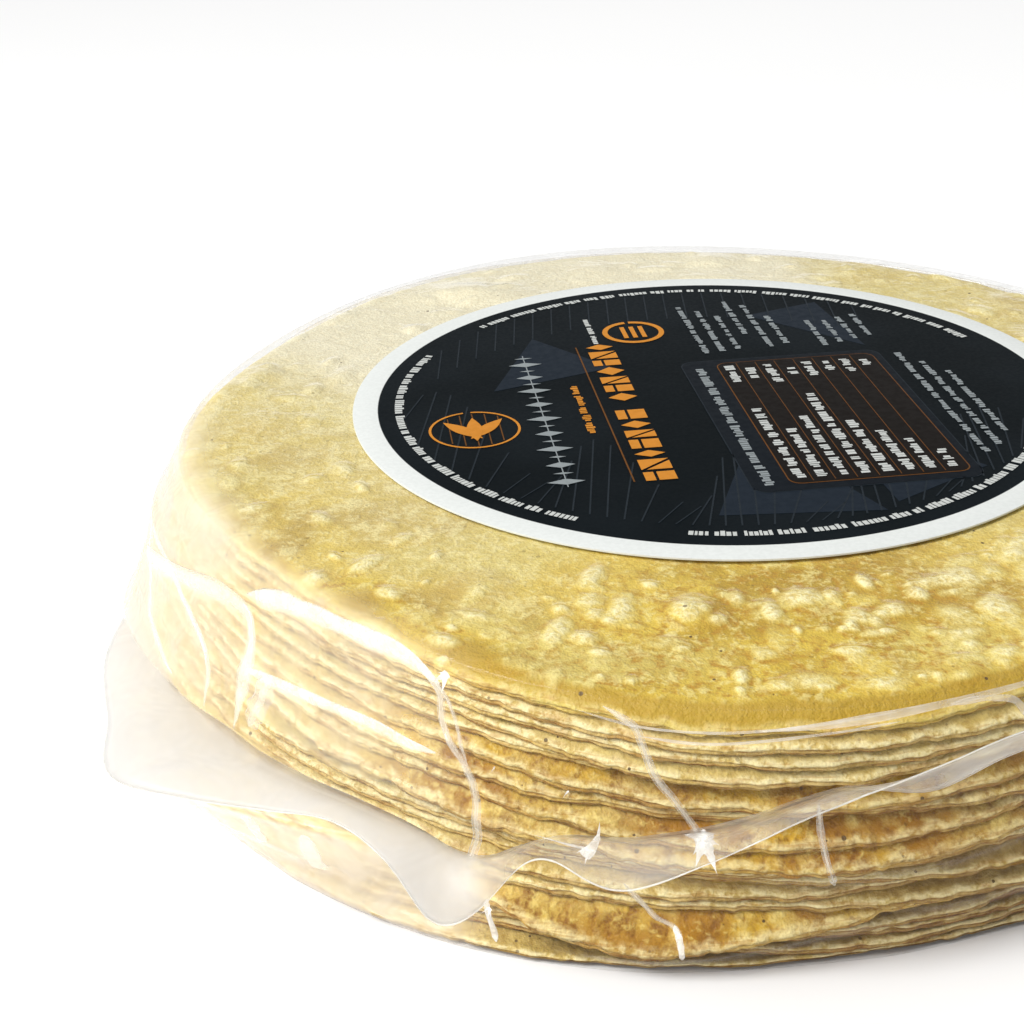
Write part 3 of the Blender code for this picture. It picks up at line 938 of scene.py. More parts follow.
def printRows():
    # pale rows round the table
    for i, (start, end) in enumerate(printShape["rowsUnder"]):
        dashes(start, end, 29.0 + i * 2.4, 29.8 + i * 2.4, "silverInk", 3)
    for i, (start, end) in enumerate(printShape["rowsBeside"]):
        dashes(start, end, 2.0 + i * 2.5, 2.8 + i * 2.5, "silverInk", 3)
    for i in range(4):
        dashes(15.0 + i, 26.0 + i * 0.5, 20.0 + i * 2.5, 20.8 + i * 2.5, "silverInk", 3)


def printEdge():
    # strokes round the edge, in groups, with two breaks
    angle = 100.0
    while angle < 430.0:
        for _ in range(int(draw.integers(2, 8))):
            step = draw.uniform(0.4, 0.85)
            tall = draw.choice((0.0, 0.0, 0.25))
            if not any(low < angle < high for low, high in printShape["edgeBreaks"]):
                add(arcPiece(0.0, 0.0, 43.2 - tall, 44.2, angle, angle + step, 3), 3, "paleInk")
            angle += step + draw.uniform(0.16, 0.28)
        angle += draw.uniform(0.6, 1.0)


def printFinish(name, colour):
    # one ink: its colour a little uneven by fine noise, with the label's soft gloss
    s = shaderSheet(name)
    worn = s.noise(1.2 * mm, 3.0, 0.6)
    shade = s.mix(s.ramp(worn, 0.3, 0.75, 0.0, 0.35), colour, tuple(c * 0.72 for c in colour))
    return s.finish(s.shader("ShaderNodeBsdfPrincipled", **{
        "Base Color": shade, "Roughness": s.ramp(worn, 0.3, 0.7, 0.38, 0.48),
        "Specular IOR Level": 0.04, "Normal": s.bump(worn, 0.08, 0.1 * mm),
    }))


def paperFinish():
    # white paper ring outside, dark printed disc inside; the disc shades slowly from navy to slate
    s = shaderSheet("labelPaper")
    centre = s.stretch(shift=(-labelShape["centre"][0], -labelShape["centre"][1], 0.0))
    split = s.node("ShaderNodeSeparateXYZ")
    s.put(centre, split.inputs[0])
    x, y = split.outputs[0], split.outputs[1]
    away = s.math("SQRT", s.plus(s.times(x, x), s.times(y, y)))
    printEnd = labelShape["printRadius"]
    inside = s.ramp(away, printEnd - 0.12 * mm, printEnd + 0.02 * mm, 1.0, 0.0)
    broad = s.noise(24.0 * mm, 2.0, 0.5)
    fine = s.noise(0.5 * mm, 2.0, 0.5)
    navy = s.mix(s.ramp(broad, 0.35, 0.65), (0.0020, 0.0044, 0.0060), (0.0048, 0.0080, 0.0105))
    paper = s.mix(s.ramp(fine, 0.3, 0.7), (0.69, 0.715, 0.695), (0.73, 0.755, 0.735))
    return s.finish(s.shader("ShaderNodeBsdfPrincipled", **{
        "Base Color": s.mix(inside, paper, navy), "Roughness": s.ramp(fine, 0.2, 0.8, 0.40, 0.50),
        "Specular IOR Level": 0.03, "Normal": s.bump(broad, 0.10, 0.6 * mm),
    }))


def makeLabel():
    # a thin disc whose edge is rounded off, lying on the film
    s = labelShape
    turn = np.linspace(0.0, 2.0 * math.pi, s["sides"], endpoint=False)
    radius, over, under = s["radius"], s["over"], s["under"]
    thick = over - under
    profile = [(r * mm, over) for r in (8.0, 24.0, 38.0, 46.0)]
    profile += [(radius - 0.12 * mm, over), (radius - 0.03 * mm, over - 0.08 * thick)]
    profile += [(radius, over - 0.35 * thick), (radius, under + 0.2 * thick), (radius - 0.08 * mm, under)]
    profile += [(40.0 * mm, under), (12.0 * mm, under)]
    profile = np.array(profile)
    rows = ringPoints(profile[:, 0, None], turn, profile[:, 1, None]) + np.array([*s["centre"], 0.0])
    disc = makePiece("label_disc", *cappedRings(rows), paperFinish())
    disc.data.set_sharp_from_angle(angle=math.radians(50.0))
    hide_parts("label")


def inkPlate(outline, level):
    # the low and the high outline of a printed field, anticlockwise from above
    turn, ink = math.radians(labelShape["readingAngle"]), labelShape["ink"]
    a, b = outline[:, 0], outline[:, 1]
    x = labelShape["centre"][0] + (a * math.cos(turn) + b * math.sin(turn)) * mm
    y = labelShape["centre"][1] + (a * math.sin(turn) - b * math.cos(turn)) * mm
    if np.sum(x * np.roll(y, -1) - np.roll(x, -1) * y) < 0:
        x, y = x[::-1], y[::-1]
    low = labelShape["over"] + (level - 1) * ink
    return np.stack([x, y, np.full_like(x, low)], -1), np.stack([x, y, np.full_like(x, low + ink * 1.2)], -1)


def makePrint():
    # every field as a plate with a top, a back and sides, in the label's inks
    for draws in (printBackground, printHeading, printSilverRow, printEmblem, printBadge):
        draws()
    for draws in (printTable, printRows, printEdge):
        draws()
    names = list(inkColours)
    points, faces, marks, first = [], [], [], 0
    for outline, level, ink in printFields:
        n = len(outline)
        points.extend(inkPlate(outline, level))
        faces.append(list(range(first + n, first + 2 * n)))
        faces.append(list(range(first + n - 1, first - 1, -1)))
        for i in range(n):
            j = (i + 1) % n
            faces.append([first + i, first + j, first + n + j, first + n + i])
        marks += [names.index(ink)] * (n + 2)
        first += 2 * n
    mesh = bpy.data.meshes.new("label_inks")
    mesh.from_pydata(np.concatenate(points).tolist(), [], faces)
    for name in names:
        mesh.materials.append(printFinish(name, inkColours[name]))
    mesh.polygons.foreach_set("material_index", marks)
    mesh.update()
    showPiece("label_inks", mesh)


makeLabel()
makePrint()
print("label made")


# clear film

filmShape = {
    "heightStep": 0.25 * mm,
    "standOff": 0.32 * mm,       # film over the food
    "bridge": 3.2 * mm,          # radius of the roundest dip that the film can follow
    "bridgeRound": 14.0 * mm,    # the same round the stack
    "topHeight": 30.75 * mm,
    "underLabel": 30.90 * mm,
    "tentAngle": -167.0,
    "tentHalfWidth": 27.0,
    # height and millimetres outwards
    "tent": (
        (3.0, 0.0), (7.0, 1.5), (10.0, 4.0), (12.5, 4.4), (16.0, 3.2), (22.0, 3.1), (27.0, 2.4),
        (30.0, 0.9), (31.0, 0.3),
    ),
    "lowTent": ((0.6, 0.0), (3.5, 3.2), (7.0, 7.0), (9.7, 10.0), (10.2, 10.0), (10.8, 0.0)),
    # angle and share of lowTent there
    "lowTentShares": (
        (-168.0, 0.0), (-160.0, 0.30), (-152.0, 0.76), (-143.5, 1.16), (-138.0, 0.92), (-132.0, 0.58),
        (-125.0, 0.28), (-118.0, 0.0),
    ),
}


def stackProfile():
    # furthest radius of the food at each angle and height
    heights = np.arange(0.0, 31.6 * mm, filmShape["heightStep"])
    reach = np.full((len(evenAngles), len(heights)), 60.0 * mm)
    turn = np.arange(len(evenAngles))[:, None] + np.zeros(len(radiusGrid), int)[None, :]
    for layer in range(stackShape["layers"]):
        radii = np.where(radiusGrid[None, :] <= rimLines[layer][:, None], radiusGrid[None, :], 0.0)
        bottom = np.floor(underHeights[layer] / filmShape["heightStep"]).astype(int)
        for up in range(7):
            np.maximum.at(reach, (turn, np.clip(bottom + up, 0, len(heights) - 1)), radii)
    return heights, reach


def closedOver(reach, ball, step, axis, mode):
    # what a ball of that radius rolled over the outside can't reach is filled in
    span = int(ball / step)
    cap = np.sqrt(np.maximum(ball ** 2 - (np.arange(-span, span + 1) * step) ** 2, 0.0))
    pad = [(0, 0), (0, 0)]
    pad[axis] = (span, span)
    for sign, furthest in ((1.0, np.max), (-1.0, np.min)):
        wide = np.pad(reach, pad, mode=mode)
        size = reach.shape[axis]
        take = [np.take(wide, np.arange(i, i + size), axis=axis) + sign * c for i, c in enumerate(cap)]
        reach = furthest(take, axis=0)
    return reach


def drawnOut(reach, share, pairs):
    # the film moved outwards by the pairs of height and millimetres, times a share at each angle
    heights, outwards = (np.array(v) * mm for v in zip(*pairs))
    return reach + share[:, None] * np.interp(filmHeights, heights, outwards)[None, :]


filmHeights, foodReach = stackProfile()
filmReach = closedOver(foodReach, filmShape["bridge"], filmShape["heightStep"], 1, "edge")
roundStep = 2.0 * math.pi * 75.0 * mm / len(evenAngles)
filmReach = closedOver(filmReach, filmShape["bridgeRound"], roundStep, 0, "wrap")
filmReach = eased(smoothRound(filmReach, 3), 1) + filmShape["standOff"]
# it hugs the top rim, and moves out no faster than it comes down
shoulderLimit = rimLines[topLayer][:, None] + 0.25 * mm
shoulderLimit = shoulderLimit + np.maximum(filmShape["topHeight"] - filmHeights, 0.0)[None, :]
filmReach = np.minimum(filmReach, np.maximum(shoulderLimit, foodReach + 0.10 * mm))
# at the left it is drawn out to the flange like a tent
tentRound = swelling(evenAngles, filmShape["tentAngle"], filmShape["tentHalfWidth"], 1.0)
filmReach = drawnOut(filmReach, tentRound, filmShape["tent"])
# and below the flange it slopes from near the free edge to the lowest rim
tentRound = np.interp(np.degrees(evenAngles), *zip(*filmShape["lowTentShares"]), period=360.0)
filmReach = drawnOut(filmReach, smoothRound(tentRound, 6), filmShape["lowTent"])


def filmRadius(angles, heights):
    # radius of the film at any angle and height
    before, after, share = roundPlace(angles)
    column = np.clip(heights / filmShape["heightStep"], 0.0, len(filmHeights) - 1.001)
    under = np.floor(column).astype(int)
    part = column - under
    radii = [filmReach[i, under] * (1 - part) + filmReach[i, under + 1] * part for i in (before, after)]
    return radii[0] * (1 - share) + radii[1] * share


# tint, milkiness, mirror share straight on, roughness, wrinkles, grain in mm, milkiness where marked (a
# painted glare towards the light)
filmFinishes = {
    "clearFilm": ((0.97, 0.955, 0.92), 0.015, 0.014, 0.10, 0.22, 5.0, 0.86),
    "sealedFilm": ((0.775, 0.766, 0.75), 0.16, 0.008, 0.42, 0.10, 9.0, 0.78),
    "beadedFilm": ((0.95, 0.94, 0.90), 0.50, 0.04, 0.20, 0.10, 4.0, 0.0),
    "foldedFilm": ((0.96, 0.93, 0.85), 0.36, 0.05, 0.16, 0.15, 2.0, 0.0),
    "veiledFilm": ((0.96, 0.94, 0.88), 0.19, 0.03, 0.50, 0.10, 4.0, 0.0),
    "stretchedFilmAndGlare": ((0.97, 0.95, 0.92), 0.34, 0.04, 0.18, 0.10, 6.0, 0.0),
    "gatheredFilmAndGlare": ((0.99, 0.99, 0.98), 0.70, 0.05, 0.20, 0.20, 1.5, 0.0),
}


def filmFinish(name):
    # mostly see-through; a little milky, and it mirrors more at a slant, by Facing to the fifth power;
    # fine wrinkles break up the glare; where marked it turns milky white, a painted glare of the light
    tint, milkiness, straightOn, roughness, wrinkle, grain, markedMilkAndGlare = filmFinishes[name]
    grain *= mm
    s = shaderSheet(name)
    veil = s.noise(grain, 2.0, 0.6, 0.8)
    fine = s.noise(grain * 0.22, 1.0, 0.6)
    normal = s.bump(veil, wrinkle, 1.2 * mm, s.bump(fine, wrinkle * 0.5, 0.3 * mm))
    clear = s.shader("ShaderNodeBsdfTransparent", Color=(0.99, 0.99, 0.985))
    lit = s.shader("ShaderNodeBsdfPrincipled", **{
        "Base Color": tint, "Roughness": 0.35, "Normal": normal, "Specular IOR Level": 0.5,
    })
    milkAndGlare = s.blend(0.6, lit, s.shader("ShaderNodeBsdfTranslucent", Color=tint))
    mirror = s.shader("ShaderNodeBsdfGlossy", Color=(0.95, 0.95, 0.95), Roughness=roughness, Normal=normal)
    slant = s.node("ShaderNodeLayerWeight")
    s.put(0.5, slant.inputs["Blend"])
    s.put(normal, slant.inputs["Normal"])
    share = s.plus(s.times(s.math("POWER", slant.outputs["Facing"], 5.0), 1.0 - straightOn), straightOn)
    hazeAndGlare = s.ramp(veil, 0.3, 0.7, milkiness * 0.6, milkiness * 1.4)
    # painted glare: where marked, the film turns milky white
    if markedMilkAndGlare:
        marked = s.times(s.attribute("milkAndGlare"), s.ramp(veil, 0.3, 0.7, markedMilkAndGlare * 0.8, markedMilkAndGlare * 1.1))
        hazeAndGlare = s.plus(hazeAndGlare, marked, True)
    return s.finish(s.blend(share, s.blend(hazeAndGlare, clear, milkAndGlare), mirror))


skinShape = {
    "around": 600,
    "relief": 1.15,              # how far it follows the small blisters
    "overTop": 0.17 * mm,
    "heights": (30.72, 30.45, 30.1, *np.linspace(29.7, 0.9, 78), 0.55, 0.25, 0.08),
    "shoulder": (0.55, 0.25, 0.08),    # how far the three rings over the side lie in from it
    "foot": (0.0, 0.12, 0.4),          # and the three below it
    "underInsets": (1.2, 6.0, 20.0, 45.0),
    "milkAndGlareReach": 6.0 * mm,
}


def skinMilkAndGlare(degrees, height, inFrom):
    # painted glare: milky white at the left, on the side towards the light, less in a band halfway up,
    # and low down in front; it fades inwards on the top
    leftward = 0.56 * unit((-114.0 - degrees) / 14.0) * (1.0 - 0.75 * bell(height, 13.0 * mm, 1.8 * mm))
    farLeft = unit((-134.0 - degrees) / 22.0) + unit((degrees - 168.0) / 12.0)
    low = unit((-112.0 - degrees) / 10.0) * unit((11.0 * mm - height) / (2.0 * mm))
    strength = np.maximum(np.maximum(leftward, farLeft), low)
    return strength * unit(1.0 - inFrom / skinShape["milkAndGlareReach"]) ** 1.5


def makeSkin():
    # one closed skin: over the top face, over the shoulder, down the side and under the stack
    s = skinShape
    turn = np.linspace(-math.pi, math.pi, s["around"], endpoint=False)
    topRim = np.interp(turn, evenAngles, rimLines[topLayer], period=2.0 * math.pi)
    inward = np.array((*np.linspace(29.0, 1.6, 46), 1.1, 0.7, 0.4))[:, None] * mm
    top = ringPoints(topRim - inward, turn, 0.0)
    x, y = top[..., 0], top[..., 1]
    large, small, _ = topRelief(x, y)
    fromLabel = np.hypot(x - labelShape["centre"][0], y - labelShape["centre"][1])
    z = filmShape["topHeight"] + s["overTop"] + (large + small * s["relief"]) * unit(inward / (0.8 * mm))
    z = np.where(fromLabel < labelShape["radius"] + 0.5 * mm, filmShape["underLabel"], z)
    top = np.stack([x, y, z], -1)

    downTo = np.array(s["heights"])[:, None] * mm
    side = np.stack([filmRadius(turn, np.full_like(turn, h)) for h in downTo[:, 0]])
    shoulder = side[3:4] - np.array(s["shoulder"])[:, None] * mm
    side[:3] = np.minimum(side[:3], np.maximum(topRim + 0.05 * mm, shoulder))
    side[-3:] = side[-4] - np.array(s["foot"])[:, None] * mm
    under = side[-1] - np.array(s["underInsets"])[:, None] * mm
    rows = np.concatenate([top, ringPoints(side, turn, downTo), ringPoints(under, turn, 0.02 * mm)])
    piece = makePiece("film_skin", *cappedRings(rows), filmFinish("clearFilm"))
    inFrom = topRim[None, :] - np.hypot(rows[..., 0], rows[..., 1])
    milkAndGlare = skinMilkAndGlare(np.degrees(turn)[None, :], rows[..., 2], inFrom)
    setAttribute(piece, "milkAndGlare", np.append(milkAndGlare.ravel(), (0.0, 0.0)))
    piece.visible_shadow = False
    piece.visible_diffuse = False


makeSkin()
print("film skin made")

skirtShape = {
    "around": 1080,
    "thickness": 0.16 * mm,
    "clearance": 0.60 * mm,
    "layersNear": 2.4 * mm,
    "camber": 0.12,
    "flutter": 0.22 * mm,
    "edgeBead": 0.10 * mm,
    # angle, height at the stack, reach, rise (mm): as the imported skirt
    "route": (
        (-178.0, 12.5, 2.4, 0.0), (-170.0, 12.0, 2.4, 0.0), (-161.0, 11.5, 6.8, -0.5),
        (-152.0, 11.0, 9.8, -0.5), (-143.5, 11.0, 14.4, -0.5), (-138.0, 11.0, 10.8, 0.0),
        (-132.0, 11.5, 6.6, 0.2), (-125.0, 12.0, 3.8, 0.5), (-119.5, 11.5, 4.6, -1.5),
        (-115.5, 10.5, 5.2, -4.8), (-112.5, 11.5, 3.6, -3.2), (-110.0, 14.2, 3.0, -0.6),
        (-102.0, 16.6, 4.8, -2.2), (-96.0, 18.4, 4.4, 0.2), (-91.0, 21.0, 3.8, 1.0),
        (-86.0, 22.8, 3.8, 1.8), (-80.0, 21.2, 3.6, 6.2), (-74.0, 23.2, 3.6, 5.8),
        (-64.0, 23.5, 4.0, 3.0), (-45.0, 20.0, 5.0, -1.5), (-25.0, 17.5, 4.5, -2.5),
        (0.0, 16.0, 5.5, 1.5), (22.0, 15.0, 4.5, 2.0), (45.0, 14.5, 6.0, -2.0),
        (68.0, 16.0, 4.8, -1.5), (90.0, 17.0, 5.2, 1.8), (112.0, 16.0, 5.0, -1.0),
        (132.0, 15.0, 5.6, -2.2), (150.0, 14.0, 4.6, 0.8), (168.0, 13.0, 3.0, 0.4),
    ),
}


def routeAt(angles):
    # height, reach and rise along the route, closed round the stack
    route = np.array(skirtShape["route"])
    stops = np.concatenate([route[:, 0] + turn for turn in (-360.0, 0.0, 360.0)])
    values = np.tile(route[:, 1:] * mm, (3, 1))
    wanted = (np.degrees(angles) + 180.0) % 360.0 - 180.0
    return cubicThrough(stops, values, np.gradient(values, stops, axis=0), wanted).T


def skirtRoot(angles, height):
    # just outside the tortillas that are near the skirt's height
    middles = stackShape["pitch"] * (np.arange(stackShape["layers"]) + 0.5)
    rims = np.array([rimRadius(layer, angles) for layer in range(stackShape["layers"])])
    near = np.abs(middles[:, None] - height[None, :]) < skirtShape["layersNear"]
    return np.max(np.where(near, rims, 0.0), axis=0) + skirtShape["clearance"]


def makeSkirt():
    # a thin band that runs out from the film skin, wavier towards its free edge, with a beaded edge
    s = skirtShape
    angles = np.linspace(-math.pi, math.pi, s["around"], endpoint=False)
    height, reach, rise = routeAt(angles)
    root = smoothRound(skirtRoot(angles, height), 9)
    height, reach, rise = (smoothRound(v, 4) for v in (height, reach, rise))
    across = np.linspace(0.0, 1.0, 12)[:, None]
    radii = root + reach * across
    radii[0] = np.minimum(filmRadius(angles, height) - 0.05 * mm, radii[1])
    camber = 4.0 * across * (1.0 - across) * s["camber"]
    flutter = ringNoise(angles, 30.0, 2.0, 51, 1) * across ** 1.5 * s["flutter"]
    middle = height + rise * across + reach * camber + flutter
    slopeR, slopeZ = np.gradient(radii, axis=0), np.gradient(middle, axis=0)
    length = np.hypot(slopeZ, slopeR)
    offR, offZ = -slopeZ / length * s["thickness"] / 2, slopeR / length * s["thickness"] / 2
    over = ringPoints(radii + offR, angles, middle + offZ)
    under = ringPoints(radii - offR, angles, middle - offZ)[::-1]
    rows = np.concatenate([over, under])
    flange = makePiece("film_flange", *closedRings(rows), filmFinish("sealedFilm"))
    degrees = np.degrees(angles)
    # painted glare: the flange is milky white at the left, towards the light, and round the back-left
    milkAndGlare = unit((-109.0 - degrees) / 9.0) + unit((degrees - 160.0) / 15.0) * 0.8
    setAttribute(flange, "milkAndGlare", np.broadcast_to(milkAndGlare, rows.shape[:2]))
    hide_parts("film_skirt")

    turn = np.linspace(0.0, 2.0 * math.pi, 8, endpoint=False)[::-1, None]
    size = s["edgeBead"] * (1.0 + 0.35 * ringNoise(angles, 60.0, 4.0, 61, 2))
    rings = ringPoints(radii[-1] + size * np.cos(turn), angles, middle[-1] + size * np.sin(turn))
    bead = makePiece("film_edge", *closedRings(rings), filmFinish("beadedFilm"))
    for part in (flange, bead):
        part.visible_shadow = False


makeSkirt()
print("flange made")

# folds and creases of the film: half width, height and lift in mm, then (angle, height in mm)
filmFolds = {
    "creaseA": (0.20, 0.30, 0.05, (
        (-122.2, 29.5), (-120.3, 28.6), (-119.0, 27.1), (-118.5, 23.9), (-117.0, 21.8),
        (-115.5, 20.1), (-114.6, 17.1), (-114.4, 13.8), (-115.1, 9.3), (-115.2, 5.4),
    )),
    "creaseInner": (0.10, 0.14, 0.0, ((-119.9, 28.7), (-118.0, 26.2), (-116.9, 23.4), (-115.6, 20.6))),
    "creaseB": (0.17, 0.26, 0.05, (
        (-104.5, 30.1), (-103.1, 29.4), (-102.0, 28.6), (-101.3, 26.5), (-100.7, 24.5),
        (-99.8, 22.5), (-98.8, 21.0), (-96.9, 17.4), (-96.0, 16.0),
    )),
    "creaseC": (0.13, 0.18, 0.0, ((-88.3, 21.3), (-88.1, 18.4), (-87.8, 15.9), (-86.7, 10.9))),
    "creaseD": (0.13, 0.18, 0.0, ((-102.6, 10.9), (-100.9, 8.3), (-100.2, 7.2), (-98.6, 6.1), (-98.0, 3.2))),
    "tentFoldA": (1.0, 0.30, 0.0, (
        (-170.0, 20.0), (-162.6, 21.8), (-155.1, 23.6), (-148.6, 24.6), (-144.7, 23.6),
        (-143.2, 20.6), (-143.5, 15.8), (-143.5, 11.3),
    )),
    "tentFoldB": (0.45, 0.35, 0.0, ((-171.0, 26.0), (-165.7, 20.0), (-160.0, 15.5), (-153.8, 12.6))),
    "tentFoldC": (0.35, 0.30, 0.0, ((-175.0, 22.0), (-171.0, 16.0), (-166.0, 12.0))),
    "tentFoldD": (0.35, 0.30, 0.0, (
        (-169.9, 24.6), (-161.2, 23.0), (-154.1, 19.9), (-149.2, 16.0), (-148.2, 11.5),
    )),
    "tentFoldE": (0.55, 0.30, 0.0, ((-139.0, 19.5), (-140.5, 15.5), (-141.5, 12.6))),
    "sideFoldA": (0.25, 0.35, 0.0, ((-52.0, 28.5), (-50.5, 24.0), (-52.5, 18.0), (-50.0, 9.0))),
    "sideFoldB": (0.25, 0.35, 0.0, ((-18.0, 29.0), (-16.0, 22.0), (-18.5, 16.0), (-16.0, 5.0))),
    "sideFoldC": (0.3, 0.4, 0.0, ((20.0, 29.3), (22.0, 23.0), (21.0, 15.5), (24.0, 6.0))),
    "sideFoldD": (0.25, 0.35, 0.0, ((58.0, 29.0), (56.0, 22.0), (58.5, 15.0), (57.0, 4.0))),
    "sideFoldE": (0.3, 0.4, 0.0, ((96.0, 29.4), (98.0, 25.0), (96.0, 17.5), (99.0, 8.0))),
    "sideFoldF": (0.25, 0.35, 0.0, ((136.0, 29.0), (139.0, 21.0), (137.0, 14.0), (140.0, 5.0))),
}
# white folds: the two bands along the shoulders are painted glare; the tufts and patches are pinched film
# whose white is partly painted glints
whiteGlareFolds = {
    "glareBandHigh": (1.20, 0.28, 0.0, (
        (-146.0, 26.2), (-139.2, 28.0), (-133.0, 28.9), (-127.4, 29.3), (-122.2, 29.3), (-118.9, 28.0),
    )),
    "glareBandLow": (0.80, 0.24, 0.0, (
        (-143.3, 18.7), (-136.3, 20.0), (-130.6, 20.8), (-125.8, 21.1), (-121.3, 20.8), (-118.6, 20.8),
    )),
    "tuftTall": (0.85, 0.34, 0.2, ((-105.6, 14.0), (-105.0, 15.0), (-104.5, 16.4), (-104.3, 18.6))),
    "tuftSide": (0.25, 0.20, 0.1, ((-104.6, 14.8), (-107.0, 15.2), (-109.8, 16.0))),
    "patchLow": (0.38, 0.20, 0.0, ((-113.3, 6.6), (-113.1, 4.2), (-112.4, 1.8))),
    "patchFoot": (0.34, 0.20, 0.0, ((-98.7, 6.4), (-98.2, 4.9), (-98.0, 3.0))),
}
webFolds = {
    "webHigh": (0.50, 0.20, 0.0, (
        (-92.7, 28.9), (-88.3, 29.2), (-82.1, 29.7), (-76.1, 30.0), (-71.5, 30.1), (-60.0, 30.0),
        (-44.0, 29.6), (-28.0, 29.8),
    )),
    "webThin": (0.15, 0.14, 0.0, (
        (-106.7, 29.4), (-101.6, 28.6), (-97.1, 28.6), (-92.7, 28.9), (-88.3, 29.3), (-82.0, 29.9),
    )),
    "webLow": (0.16, 0.15, 0.0, ((-101.6, 27.6), (-97.1, 27.4), (-92.7, 27.8), (-88.3, 28.4), (-82.2, 29.0))),
    # white blotches of painted glare, low down at the left
    "lowGlareA": (1.6, 0.25, 0.0, ((-140.5, 8.8), (-139.0, 7.0), (-138.4, 4.6))),
    "lowGlareB": (1.1, 0.25, 0.0, ((-134.5, 9.0), (-134.0, 7.4), (-133.4, 5.2))),
    "lowGlareC": (1.4, 0.25, 0.0, ((-129.4, 8.4), (-128.8, 6.6), (-128.0, 4.0))),
    "webCurl": (0.40, 0.25, 0.0, ((-78.1, 29.8), (-74.7, 29.6), (-72.5, 28.7), (-71.8, 27.6), (-70.5, 25.6))),
    "webBack": (0.40, 0.20, 0.0, ((10.0, 29.7), (40.0, 29.9), (75.0, 29.6), (110.0, 29.9), (150.0, 29.5))),
}
# tufts where the film is pinched, their white partly painted glints: angle, height in mm, length of the
# longest spoke in mm, spokes
tufts = {
    "tuftCross": (-96.6, 17.0, 4.0, 7),
    "tuftCorner": (-118.4, 29.0, 2.3, 5),
    "tuftShelf": (-105.2, 14.8, 1.6, 4),
    "tuftSmallA": (-113.2, 21.2, 0.4, 3),
    "tuftSmallB": (-107.0, 20.4, 0.6, 3),
    "tuftLow": (-113.0, 5.6, 1.1, 4),
    "tuftFoot": (-98.3, 5.6, 1.0, 4),
}
foldShape = {
    "samples": 90,
    "uneven": 0.4,
    "peakLift": 1.2 * mm,        # how far a tuft's point stands off the film
    "veilWidth": (2.6, 1.4),     # a veil's width over its crease's, and the most it may be in mm
    "veilHeight": 0.35,
    "tuftSeed": 17,
}


def foldPath(points):
    # an even cubic curve through the points, on the film
    spots = np.array(points, float)
    steps = np.cumsum(np.append(0.0, np.hypot(np.diff(spots[:, 0]) * 1.3, np.diff(spots[:, 1]))))
    wanted = np.linspace(0.0, steps[-1], foldShape["samples"])
    curve = cubicThrough(steps, spots, np.gradient(spots, steps, axis=0), wanted)
    return np.radians(curve[:, 0]), curve[:, 1] * mm


def tubeAlong(centre, across, out, halfWidth, height, sides=10):
    # a fold: a flattened tube whose cross-section is an ellipse, carried along centre
    turn = np.linspace(0.0, 2.0 * math.pi, sides, endpoint=False)[:, None]
    wide = halfWidth[:, None, None] * np.cos(turn) * across[:, None, :]
    tall = height[:, None, None] * np.sin(turn) * out[:, None, :]
    return cappedRings(centre[:, None, :] + wide + tall)


def makeFold(name, halfWidth, height, lift, points, seed):
    # a raised fold along a path on the film: widest in the middle, or for a tuft at its start, whose
    # other end comes to a point that stands off the film
    angles, heights = foldPath(points)
    centre = ringPoints(filmRadius(angles, heights) + lift * mm, angles, heights)
    along = np.gradient(centre, axis=0)
    along /= np.linalg.norm(along, axis=1)[:, None]
    out = ringPoints(1.0, angles, 0.0)
    across = np.cross(along, out)
    across /= np.linalg.norm(across, axis=1)[:, None]
    t = np.linspace(0.0, 1.0, len(angles))
    taper = np.clip(np.minimum(t, 1.0 - t) / 0.12, 0.02, 1.0) ** 0.7
    if name.startswith("tuft"):
        taper = np.clip(t / 0.05, 0.02, 1.0) * np.clip(1.0 - t, 0.02, 1.0) ** 1.3
        centre = centre + (foldShape["peakLift"] * t ** 2)[:, None] * out
    flat = 0.0 * t + 0.5
    size = mm * taper * (1.0 + foldShape["uneven"] * latticeNoise(t * 9.0, flat, flat, seed))
    return tubeAlong(centre, across, out, halfWidth * size, height * size)


def tuftFolds():
    # thin pointed spokes of uneven length round each pinch
    draw = np.random.default_rng(foldShape["tuftSeed"])
    folds = {}
    for name, (angle, height, size, spokes) in tufts.items():
        for i in range(spokes):
            way = 2.0 * math.pi * (i + draw.uniform(-0.3, 0.3)) / spokes
            length = size * draw.uniform(0.30, 0.75)
            sideways, upwards = math.cos(way) * length * 0.76, math.sin(way) * length
            reach = [(angle + sideways * u, height + upwards * u) for u in (0.0, 0.5, 1.0)]
            folds[f"{name}{i}"] = (0.25 * size, 0.09 * size, 0.05, reach)
    return folds


def veilOf(folds):
    # a wider, flatter fold under each crease
    veils = {}
    ratio, widest = foldShape["veilWidth"]
    for name, (wide, high, lift, points) in folds.items():
        veils[name] = (min(ratio * wide, widest), foldShape["veilHeight"] * high, lift - 0.02, points)
    return veils


foldSets = (
    ("film_veils", veilOf(filmFolds), "veiledFilm", 130),
    ("film_creases", filmFolds, "foldedFilm", 70),
    ("film_gathers_and_glare", {**whiteGlareFolds, **tuftFolds()}, "gatheredFilmAndGlare", 90),
    ("film_web_and_glare", webFolds, "stretchedFilmAndGlare", 110),
)
for name, folds, finish, seed in foldSets:
    parts = [makeFold(fold, *folds[fold], seed + i) for i, fold in enumerate(folds)]
    piece = makePiece(name, *joinParts(parts), filmFinish(finish))
    piece.visible_shadow = False
print("creases made")


# floor, light and camera

